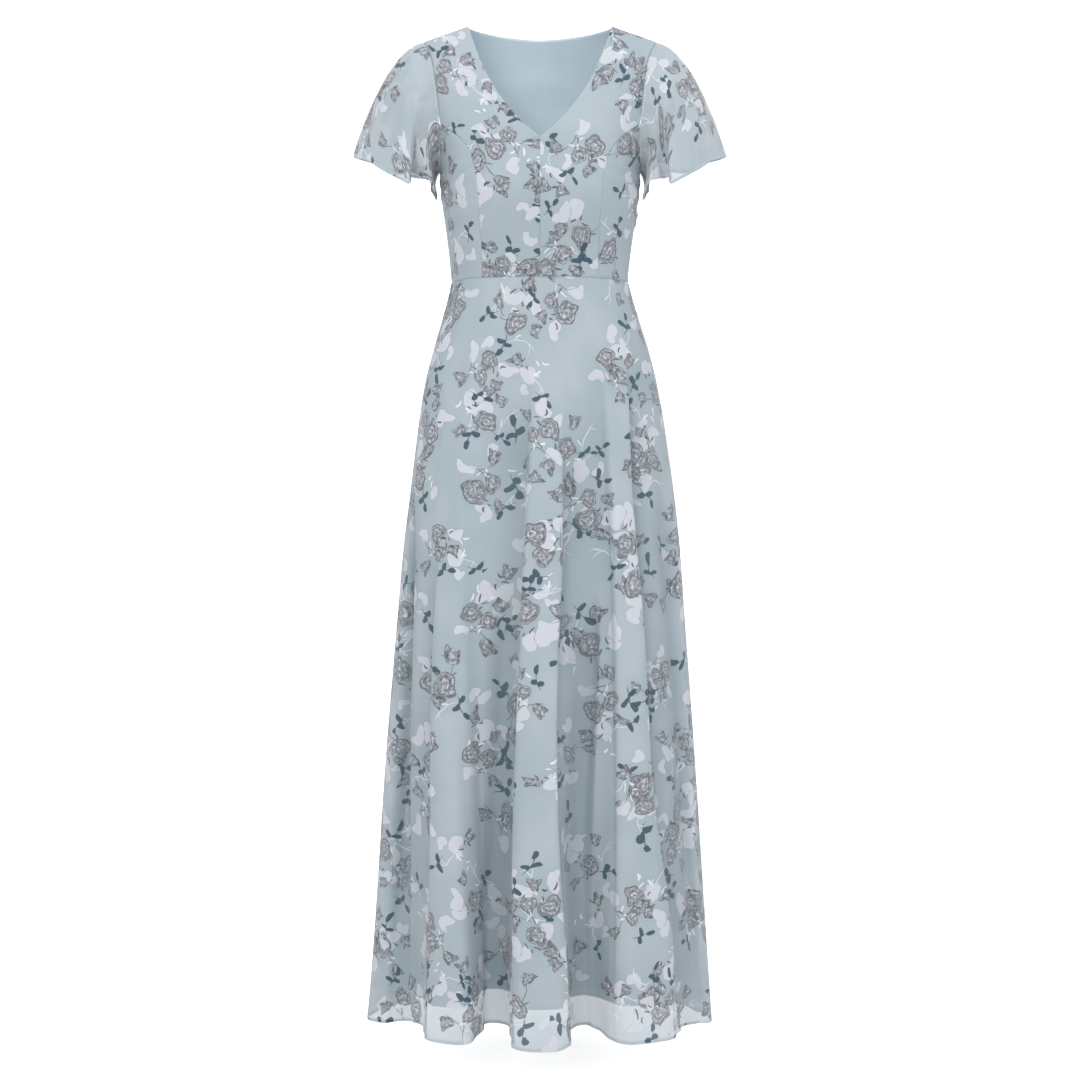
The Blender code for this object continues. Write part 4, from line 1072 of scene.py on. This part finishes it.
def flower_print_group():
    """The print, on the cut in metres: a clouded ground and layers of strewn sprays, in which washed
    blossoms, stems and dark leaves lie under drawn buds and roses, with short flicks of dark and white."""
    stroke = brush_stroke_group()
    strewn = strewn_group()
    rose = rose_group()
    gives = {"Color": "Color", "Density": "Float"}
    tree, given, result = new_group("flower_print", {"Vector": (0, 0, 0)}, gives)
    moved = wavering(tree, wavering(tree, given["Vector"], 21.0, 0.020), 70.0, 0.0042)
    clouds = noise(tree, given["Vector"], 9.0, 2.0, "2D")[0]
    colour = blended(tree, softly(tree, clouds, 0.3, 0.75), GROUND_DEEP, GROUND_PALE)
    grain = noise(tree, moved, 230.0, 1.5, "2D")[0]
    speckle = sums(tree, "MULTIPLY_ADD", grain, 1.2, -0.6)
    density = 0.0
    for (shift, turn, spacing, size, bareness), parts in SPRAYS:
        lay = {"Shift": shift, "Turn": math.radians(turn), "Spacing": spacing, "Size": size}
        cell = placed(tree, strewn, Vector=moved, Bareness=bareness, **lay)
        local = cell["Local"]
        drawn = colour
        covered = 0.0
        for number, (name, *motif) in enumerate(parts):
            if name == "bud":
                mask, tone = bud(tree, stroke, local, motif, speckle)
                ink = shaded(tree, tone, FLOWER_SHADES)
            elif name == "rose":
                spot = spotted(tree, local, motif, 2.0 + number)
                mask, tone = placed(tree, rose, Vector=spot, Grain=grain)
                ink = shaded(tree, sums(tree, "ADD", tone, speckle), FLOWER_SHADES)
            else:
                mask = brushed(tree, stroke, local, motif, STROKES[name.removeprefix("pale_")])
                ink = INKS[name]
            drawn = blended(tree, mask, drawn, ink)
            covered = sums(tree, "MAXIMUM", covered, mask)
        share = sums(tree, "MULTIPLY", cell["Filled"], 0.95)
        colour = blended(tree, share, colour, drawn)
        density = sums(tree, "MAXIMUM", density, sums(tree, "MULTIPLY", covered, share))
    tree.links.new(colour, result["Color"])
    tree.links.new(density, result["Density"])
    return tree


def crepe_group():
    """Crepe's pebbled grain: a fine noise on a loose weave."""
    tree, given, result = new_group("crepe", {"Vector": (0, 0, 0)}, {"Height": "Float"})
    pebbles = noise(tree, given["Vector"], 950.0, 2.0, roughness=0.6)[0]
    threads = placed(tree, weave, Vector=given["Vector"], Pitch=0.0004)["Height"]
    tree.links.new(sums(tree, "MULTIPLY_ADD", pebbles, 1.4, threads), result["Height"])
    return tree


def chiffon_material():
    """Printed crepe chiffon: sheer, denser where it is printed or folded, darkened by painted shade in the
    hollow of a fold, its print faint from the back, where it is also darker as painted shade."""
    constants = {"Specular_IOR_Level": 0.25, "Sheen_Weight": 0.25, "Sheen_Roughness": 0.5}
    material, tree, shader = new_material("printed_chiffon", **constants)
    material.surface_render_method = "DITHERED"
    cut = cut_map(tree)
    printed = placed(tree, flower_print_group(), Vector=cut)
    # Back faces: the print faint from the wrong side, and darker as painted shade for the dress's inside.
    behind = sums(tree, "MULTIPLY", made(tree, "NewGeometry", {})["Backfacing"], WRONG_SIDE_SHARE)
    colour = blended(tree, behind, printed["Color"], WRONG_SIDE_PAINTED_SHADE)
    # The attribute is above 0 where the cloth lies in layers and below 0 where painted shade darkens the
    # hollow of a fold.
    folded = made(tree, "Attribute", {}, attribute_name="folded")["Fac"]
    # Painted shade: the colour is blended towards a deep blue-grey where the attribute is below 0.
    colour = blended(tree, sums(tree, "MULTIPLY", folded, -PAINTED_SHADE_SHARE), colour, PAINTED_HOLLOW_SHADE)
    tree.links.new(colour, shader["Base Color"])
    sheer = sums(tree, "MULTIPLY_ADD", printed["Density"], PRINT_COVER, CHIFFON_COVER)
    cover = sums(tree, "ADD", sums(tree, "MAXIMUM", folded, 0.0), sheer)
    tree.links.new(sums(tree, "MINIMUM", cover, 1.0), shader["Alpha"])
    grain = placed(tree, crepe_group(), Vector=cut)["Height"]
    tree.links.new(sums(tree, "MULTIPLY_ADD", grain, -0.06, 0.92), shader["Roughness"])
    embossed(tree, shader, grain, 0.35, 0.00015)
    return material


def tightened(grid):
    """A grid with four more rows or columns close to each of its edges, where the seams turn in."""
    shares = np.array([0.0, 0.08, 0.2, 0.38, 0.65])
    for turned in (False, True):
        grid = grid.swapaxes(0, 1) if turned else grid
        share = shares[:, None, None]
        first = grid[:1] * (1 - share) + grid[1:2] * share
        last = grid[-1:] * (1 - share[::-1]) + grid[-2:-1] * share[::-1]
        grid = np.concatenate([first, grid[1:-1], last])
        grid = grid.swapaxes(0, 1) if turned else grid
    return grid


def drawn_in(points, edges):
    """How deep a panel's seams draw it in: each edge's depth (left, right, bottom, top; a number or one
    for each row or column) times exp(-(distance / reach)^2), less a pucker that waves over the place in
    space, so that the two sides of a seam agree."""
    across = arcs(points, 1)
    upward = arcs(points, 0)
    ways = (across, across[:, -1:] - across, upward, upward[-1:] - upward)
    x, y, z = np.moveaxis(points, -1, 0)
    wave = np.sin(2 * math.pi * (95 * z + 70 * np.abs(x) + 60 * y) + 2 * np.sin(400 * z + 300 * x))
    depth = np.zeros(points.shape[:2])
    for way, edge in zip(ways, edges):
        sewn = np.asarray(edge)
        if sewn.ndim == 1:
            sewn = sewn[:, None] if way is ways[0] or way is ways[1] else sewn[None, :]
        depth = np.maximum(depth, sewn * bell(way, SEAM_REACH))
        depth = depth - PUCKER * wave * bell(way, PUCKER_REACH) * (sewn > 0)
    return depth


def side_seam_depths(z, side):
    """The side seam's depth at each height: deeper on the wearer's left, where its edges roll in along
    the concealed zip."""
    zipped = (z < ZIP_TOP_Z) & (z > ZIP_BOTTOM_Z) & (side > 0)
    return np.where(zipped, ZIP_DIP, SEAM_DIP)


printed_chiffon = chiffon_material()
centre_grid = tightened(centre_grid)
side_grid = tightened(side_grid)
back_grid = tightened(back_grid)
neck_rows = centre_grid[:, 0, 1] > NECK_FRONT[0][1]
neck_columns = back_grid[-1, :, 0] > 180 - angle_at(NECK_HALF_WIDTH, 0.0)
centre_edges = (np.where(neck_rows, NECK_DIP, SEAM_DIP), SEAM_DIP, SEAM_DIP, SEAM_DIP)
back_top = np.where(neck_columns, NECK_DIP, SEAM_DIP)
centre_depth = drawn_in(torso(centre_grid[..., 0], centre_grid[..., 1]), centre_edges)
for side, name, place in ((1, "left", (0.12, 0.31)), (-1, "right", (-0.21, 0.74))):
    patch = bodice_patch(centre_grid, 20.0, side, centre_depth, place)
    panel("bodice_centre_front_" + name, [patch], printed_chiffon)
    edge = side_seam_depths(side_grid[:, -1, 1], side)
    depth = drawn_in(torso(side_grid[..., 0], side_grid[..., 1]), (SEAM_DIP, edge, SEAM_DIP, SEAM_DIP))
    patch = bodice_patch(side_grid, 70.0, side, depth, (place[0] * 2, place[1] + 0.55))
    panel("bodice_side_front_" + name, [patch], printed_chiffon)
back_patches = []
for side in (1, -1):
    edge = side_seam_depths(back_grid[:, 0, 1], side)
    depth = drawn_in(torso(back_grid[..., 0], back_grid[..., 1]), (edge, 0.0, SEAM_DIP, back_top))
    back_patches.append(bodice_patch(back_grid, 180.0, side, depth, (0.62, 1.15)))
panel("bodice_back", back_patches, printed_chiffon)


# ---------------------------------------------------------------------------------------------------
# Flutter sleeves: one flared layer of the same chiffon each, gathered a little into the armhole. They
# are unlined and fall in soft flutes to a narrow hem rolled to the inside.

SLEEVE_HEM = table(
    "x y z round",
    (0.2780, 0.004, -0.1900, 1.6),
    (0.2520, 0.052, -0.1950, 1.6),
    (0.2220, 0.100, -0.2050, 3.0),
    (0.1960, 0.058, -0.2080, 1.6),
    (0.1780, 0.086, -0.2110, 2.6),
    (0.1620, 0.034, -0.2400, 1.6),
    (0.1540, 0.002, -0.2540, 1.4),
    (0.1520, -0.034, -0.2520, 1.2),
    (0.1620, -0.068, -0.2300, 1.6),
    (0.1900, -0.052, -0.2250, 1.4),
    (0.1900, -0.102, -0.2390, 1.4),
    (0.2500, -0.056, -0.2020, 1.0),
)
SLEEVE_SPRING = 0.29
SLEEVE_SIDE_SPRING = 0.7
SLEEVE_DROP = 0.22
SLEEVE_RIPPLE = 0.0017
SLEEVE_FLUTTER = 0.0004
SLEEVE_GATHER = 0.0004
SLEEVE_FULLNESS = 0.86
SLEEVE_STEPS = 18
SLEEVE_ROWS = 64
ROLL_RADIUS = 0.0009
ROLL_ROWS = 8


def sleeve_points():
    """The left sleeve, from its hem up: each column is a quadratic curve that springs outwards from the
    armhole and falls to the hem's closed curve."""
    half = len(SLEEVE_HEM["x"]) * SLEEVE_STEPS // 2
    back = armhole("back", 0, ARMHOLE_TOP_ROW, half)[::-1]
    front = armhole("front", 0, ARMHOLE_TOP_ROW, half)
    loop = np.concatenate([back[:-1], front[:-1]])
    out = outward(torso, loop[:, 0], loop[:, 1], TORSO_STEPS)
    start = torso(loop[:, 0], loop[:, 1]) + out * (WALL - SEAM_DIP)
    place = np.arange(len(loop)) / SLEEVE_STEPS
    closed_z = np.append(SLEEVE_HEM["z"], SLEEVE_HEM["z"][0])
    low = 0.3 * eased(place, closed_z) + 0.7 * np.interp(place, np.arange(len(closed_z)), closed_z)
    hem = np.append(looped_curve(place, SLEEVE_HEM), low[:, None], axis=1)
    fall = np.linalg.norm(hem - start, axis=-1, keepdims=True)
    upper = 0.5 + 0.5 * np.cos(2 * np.pi * place / len(SLEEVE_HEM["x"]))
    away = np.stack([out[:, 0] + SLEEVE_SIDE_SPRING * upper, out[:, 1], -SLEEVE_DROP * upper], axis=-1)
    bend = start + unit(away) * fall * SLEEVE_SPRING
    t = np.linspace(1, 0, SLEEVE_ROWS + 1)[:, None, None]
    return start * (1 - t) ** 2 + 2 * bend * t * (1 - t) + hem * t**2


def ring_normals(points):
    """Outward unit normals of a tube of points, whose last column is followed by its first."""
    along = np.roll(points, -1, axis=1) - np.roll(points, 1, axis=1)
    return unit(np.cross(along, np.gradient(points, axis=0)))


def rolled(points, normals):
    """A grid with its lowest row rolled to the inside: more rows below it that turn round a point one
    roll radius inside the edge, through most of a circle."""
    down = unit(points[0] - points[1])
    turn = np.radians(np.linspace(300, 300 / ROLL_ROWS, ROLL_ROWS))[:, None, None]
    inward = (np.cos(turn) - 1) * normals[0]
    return np.concatenate([points[0] + ROLL_RADIUS * (inward + np.sin(turn) * down), points])


def rolled_cover(points):
    """How folded each point is near a rolled hem: 1 on the roll and at the turned edge just above it."""
    upward = arcs(points, 0)
    return 0.5 - 0.5 * np.tanh((upward - 2 * math.pi * ROLL_RADIUS - 0.002) / 0.0006)


bare = sleeve_points()
normals = ring_normals(bare)
turn = np.linspace(0, 2 * math.pi, bare.shape[1], endpoint=False)[None]
fall = np.linspace(1, 0, SLEEVE_ROWS + 1)[:, None]
for side, name, phase in ((1, "left", 0.4), (-1, "right", 2.3)):
    swell = 0.5 + 0.5 * np.sin(3 * turn + phase)
    ripple = np.sin(23 * turn + phase + 1.2 * np.sin(2 * turn + 4 * fall)) * swell
    flutter = np.sin(37 * turn + 2 * phase + 1.5 * np.sin(3 * turn))
    gather = np.sin(61 * turn + phase + np.sin(4 * turn)) * bell(1 - fall, 0.12)
    off = SLEEVE_RIPPLE * ripple * fall**1.5 + SLEEVE_FLUTTER * flutter * fall**4 + SLEEVE_GATHER * gather
    off = off * (1 - np.exp(-((1 - fall) / 0.02)))
    points = bare + normals * off[..., None]
    points = rolled(points, ring_normals(points))
    points = np.concatenate([points, points[:, :1]], axis=1) * np.array([side, 1.0, 1.0])
    points = points[:, ::side]
    cut = fan_cut(points, (1.35 * side, 0.2 + 0.1 * side), SLEEVE_FULLNESS)
    patch = (points, cut, rolled_cover(points))
    panel("sleeve_" + name, [patch], printed_chiffon)


# ---------------------------------------------------------------------------------------------------
# Skirt chiffon: a flared front and back of the same chiffon, joined at the side seams and gathered a
# little into the waist seam. It hangs in deep soft flutes to a narrow hem rolled to the inside.

# Painted shade in the hollow of each fold and flute: the crease depth at which it is full, its share in the
# folds and in the flutes' valleys, where it comes in down the skirt and where it ends above the sheer band.
PAINTED_SHADE_DEPTH = 0.013
FOLD_PAINTED_SHADE = 0.85
VALLEY_PAINTED_SHADE = 0.60
VALLEY_TOP_Z = -0.85
VALLEY_FADE_IN = 0.45
BAND_TOP_Z = -1.47
BAND_FADE = 0.07
HEM_FLUTTER = 0.0012


def painted_hollow_shade(place, z):
    """The painted shade at a point: how deep it lies in the hollow of a fold, as a share of a depth, or of a
    flute, as the square of a cosine wave that comes in down the skirt and ends above the sheer band."""
    fold = np.clip(-creases(place, z) / PAINTED_SHADE_DEPTH, 0, 1)
    low = np.clip((VALLEY_TOP_Z - z) / VALLEY_FADE_IN, 0, 1) * np.clip((z - BAND_TOP_Z) / BAND_FADE, 0, 1)
    valley = (0.5 - 0.5 * np.cos(np.pi * place)) ** 2
    return np.clip(FOLD_PAINTED_SHADE * fold + VALLEY_PAINTED_SHADE * valley * low, 0, 1)


for side, rows_round, steps, place_on_roll in (
    ("front", FRONT_ROWS, 46, (4.0, 0.0)),
    ("back", BACK_ROWS, 38, (7.0, 0.0)),
):
    place, z = np.moveaxis(tightened(np.stack(skirt_grid(rows_round, steps, 160, "hem_z"), axis=-1)), -1, 0)
    bare = skirt(place, z)
    zipped = side_seam_depths(z[:, 0], 1)
    edges = (SEAM_DIP, zipped, 0.0, SEAM_DIP) if side == "front" else (zipped, SEAM_DIP, 0.0, SEAM_DIP)
    flutter = np.sin(2 * math.pi * place * 2.5 + 2 * np.sin(place)) * np.exp(-arcs(bare, 0) / 0.035)
    points = off_skirt(bare, place, z, skirt_folds(place, z) + HEM_FLUTTER * flutter - drawn_in(bare, edges))
    points = rolled(points, outward(skirt, place, z, SKIRT_STEPS))
    # Painted shade, kept as values below 0 of the folded attribute away from the rolled hem.
    hollow = np.pad(painted_hollow_shade(place, z), ((ROLL_ROWS, 0), (0, 0)), mode="edge")
    cover = rolled_cover(points)
    patch = (points, fan_cut(points, place_on_roll), cover - hollow * (1 - cover))
    panel("skirt_" + side, [patch], printed_chiffon)


# ---------------------------------------------------------------------------------------------------
# Concealed zip: nylon coil on woven tape behind the left side seam, with an enamelled slider at its top
# and a drop-shaped pull that turns on the slider's bridge.

ZIP_TAPE_GAP = 0.0014
ZIP_TAPE_WALL = 0.0012
COIL_RADIUS = 0.0011
COIL_PITCH = 0.0013
COIL_WIRE = 0.00035
COIL_STEPS = 12
WIRE_STEPS = 6
EDGE_ROUNDING = 0.00018
TAPE_DEEP = (0.30, 0.39, 0.45, 1.0)
TAPE_PALE = (0.42, 0.51, 0.57, 1.0)


def plain_cut(points):
    """A strip's flat cut: the running length across it from its middle column, and up its middle column."""
    across = arcs(points, 1)
    middle = [points.shape[1] // 2]
    upward = np.broadcast_to(arcs(points, 0)[:, middle], across.shape)
    return np.stack([across - across[:, middle], upward], axis=-1)


def side_seam(z):
    """Points on the left side seam at heights: the torso's above the waist and the skirt's below it."""
    above = torso(SIDE_SEAM_ANGLE + 0 * z, z)
    below = skirt(FRONT_ROWS[1] + 0 * z, z)
    return np.where((z > waist_z(SIDE_SEAM_ANGLE))[:, None], above, below)


def seam_outward(points):
    """Unit vectors out of the cloth and forwards at points that follow the side seam upwards."""
    up = unit(np.gradient(points, axis=0))
    forwards = torso(SIDE_SEAM_ANGLE - 1.0, ZIP_TOP_Z) - torso(SIDE_SEAM_ANGLE + 1.0, ZIP_TOP_Z)
    forwards = np.broadcast_to(unit(forwards), up.shape)
    return unit(np.cross(up, forwards)), forwards


def coil_points():
    """The coil's wire: a helix round a line behind the tape, with a ring of points round the wire."""
    top = ZIP_TOP_Z - 0.0100
    turns = (top - ZIP_BOTTOM_Z) / COIL_PITCH
    angle = np.linspace(0, 2 * math.pi * turns, int(turns * COIL_STEPS) + 1)
    z = np.linspace(ZIP_BOTTOM_Z + 0.001, top, len(angle))
    middle = side_seam(z)
    out, forwards = seam_outward(middle)
    depth = WALL + ZIP_TAPE_GAP + ZIP_TAPE_WALL + COIL_RADIUS + COIL_WIRE
    spoke = np.cos(angle)[:, None] * forwards + np.sin(angle)[:, None] * out
    path = middle - out * depth + spoke * COIL_RADIUS
    around = np.linspace(0, 2 * math.pi, WIRE_STEPS + 1)[:, None, None]
    up = np.cross(forwards, -out)
    return path[None] + COIL_WIRE * (np.cos(around) * spoke[None] + np.sin(around) * up[None])


def woven_tape_material():
    """Zip tape: a dense plain weave in the lining's blue-grey."""
    material, tree, shader = new_material("woven_tape", Specular_IOR_Level=0.3)
    place = made(tree, "TexCoord", {})["Object"]
    threads = placed(tree, weave, Vector=place, Pitch=0.0007)["Height"]
    tree.links.new(blended(tree, threads, TAPE_DEEP, TAPE_PALE), shader["Base Color"])
    tree.links.new(sums(tree, "MULTIPLY_ADD", threads, -0.15, 0.85), shader["Roughness"])
    embossed(tree, shader, threads, 0.6, 0.0002)
    return material


def enamel_material(name, deep, pale, gloss):
    """Sprayed enamel, or nylon: one colour, faintly speckled, worn paler on its rubbed high spots."""
    material, tree, shader = new_material(name, Coat_Weight=0.3, Coat_Roughness=0.2)
    specks = noise(tree, made(tree, "TexCoord", {})["Object"], 1200.0, 3.0)[0]
    worn = softly(tree, made(tree, "NewGeometry", {})["Pointiness"], 0.52, 0.60)
    share = sums(tree, "MULTIPLY_ADD", specks, 0.6, sums(tree, "MULTIPLY", worn, 0.4))
    tree.links.new(blended(tree, share, deep, pale), shader["Base Color"])
    tree.links.new(sums(tree, "MULTIPLY_ADD", specks, 0.2, gloss), shader["Roughness"])
    return material


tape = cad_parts["side_zip_tape"].data.materials
tape.clear()
tape.append(woven_tape_material())
points = coil_points()
nylon = enamel_material("zip_nylon", TAPE_DEEP, (0.42, 0.52, 0.58, 1.0), 0.35)
coil = cloth_piece("zip_coil", [flat_patch(points, plain_cut(points))], nylon)
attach(coil, "dress")
enamel = enamel_material("zip_paint", (0.30, 0.385, 0.44, 1.0), (0.43, 0.52, 0.58, 1.0), 0.25)
for node, body in (("zip_slider", "dress"), ("zip_pull", "pull")):
    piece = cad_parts[node].copy()
    piece.data = piece.data.copy()
    piece.parent = None
    piece.name = node + "_finished"
    bpy.context.scene.collection.objects.link(piece)
    remeshed(piece.data, 0.00001, math.radians(1))
    piece.data.materials.clear()
    piece.data.materials.append(enamel)
    rounding = piece.modifiers.new("rounding", "BEVEL")
    rounding.width = EDGE_ROUNDING
    rounding.segments = 2
    rounding.harden_normals = True
    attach(piece, body)
    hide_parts(node)


# ---------------------------------------------------------------------------------------------------
# Studio: a white paper sweep behind and under the dress, a soft key light from the front left, a fill
# from the front right, weaker lights from above, both sides and behind, and the camera at hip height.

FLOOR_Z = -1.560
SWEEP_REACH = 16.0
SWEEP_TURN_Y = 2.6
SWEEP_RADIUS = 1.2
SWEEP_TOP = 6.0


def sweep_points():
    """A floor that curves up into a wall: along a profile of a line, a quarter circle and a line."""
    turn = np.radians(np.linspace(0, 90, 25))
    wall_y = SWEEP_TURN_Y + SWEEP_RADIUS
    y = np.concatenate([[-SWEEP_REACH], SWEEP_TURN_Y + SWEEP_RADIUS * np.sin(turn), [wall_y]])
    z = np.concatenate([[0.0], SWEEP_RADIUS * (1 - np.cos(turn)), [SWEEP_TOP]]) + FLOOR_Z
    x = np.linspace(-SWEEP_REACH, SWEEP_REACH, 9)
    return np.stack([x[None] + 0 * y[:, None], y[:, None] + 0 * x, z[:, None] + 0 * x], axis=-1)


def paper_material():
    """White background paper, faintly mottled, that glows a little so that shadows stay faint on it."""
    constants = {"Specular_IOR_Level": 0.1, "Emission_Strength": 1.0}
    material, tree, shader = new_material("studio_paper", **constants)
    mottle = noise(tree, made(tree, "TexCoord", {})["Object"], 3.0, 2.0)[0]
    tint = blended(tree, mottle, (0.70, 0.70, 0.70, 1.0), (0.73, 0.73, 0.73, 1.0))
    tree.links.new(tint, shader["Base Color"])
    tree.links.new(sums(tree, "MULTIPLY_ADD", mottle, 0.1, 0.85), shader["Roughness"])
    glow = sums(tree, "MULTIPLY", made(tree, "LightPath", {})["Is Camera Ray"], 0.75)
    glow = blended(tree, glow, (0.0, 0.0, 0.0, 1.0), (1.0, 1.0, 1.0, 1.0))
    tree.links.new(glow, shader["Emission Color"])
    return material


points = sweep_points()
cloth_piece("studio_sweep", [flat_patch(points, plain_cut(points))], paper_material())


def soft_light(name, place, aim, size, power, tint):
    """A square soft light at a place, turned to an aim."""
    lamp = bpy.data.lights.new(name, "AREA")
    lamp.shape = "SQUARE"
    lamp.size = size
    lamp.energy = power
    lamp.color = tint
    holder = added(name, lamp)
    holder.location = place
    holder.rotation_euler = (Vector(aim) - Vector(place)).to_track_quat("-Z", "Y").to_euler()


soft_light("key_light", (-1.0, -4.3, 0.45), (0.0, 0.0, -0.7), 1.5, 46.0, (1.0, 0.995, 0.985))
soft_light("fill_light", (1.9, -3.7, -0.1), (0.0, 0.0, -0.8), 2.2, 22.0, (0.985, 0.99, 1.0))
soft_light("top_light", (0.0, -0.9, 2.3), (0.0, 0.1, -0.6), 2.0, 30.0, (1.0, 1.0, 1.0))
soft_light("left_light", (-3.2, -1.3, -0.2), (0.0, 0.0, -0.7), 2.4, 20.0, (1.0, 1.0, 1.0))
soft_light("right_light", (3.2, -1.3, -0.2), (0.0, 0.0, -0.7), 2.4, 20.0, (1.0, 1.0, 1.0))
soft_light("back_light", (0.0, 3.4, 1.2), (0.0, 0.0, -0.6), 3.0, 28.0, (1.0, 1.0, 1.0))
world = bpy.data.worlds.new("studio_air")
world.use_nodes = True
air = world.node_tree.nodes["Background"].inputs
air["Color"].default_value = (0.95, 0.965, 1.0, 1.0)
air["Strength"].default_value = 0.70
bpy.context.scene.world = world
bpy.context.scene.view_settings.view_transform = "Standard"

camera_data = bpy.data.cameras.new("camera")
camera_data.lens = 73.19
camera_data.sensor_width = 36.0
camera = added("camera", camera_data)
camera.location = (0.0, -3.3, -0.52)
camera.rotation_euler = (math.radians(90 - 4.2055), 0.0, 0.0)
bpy.context.scene.camera = camera
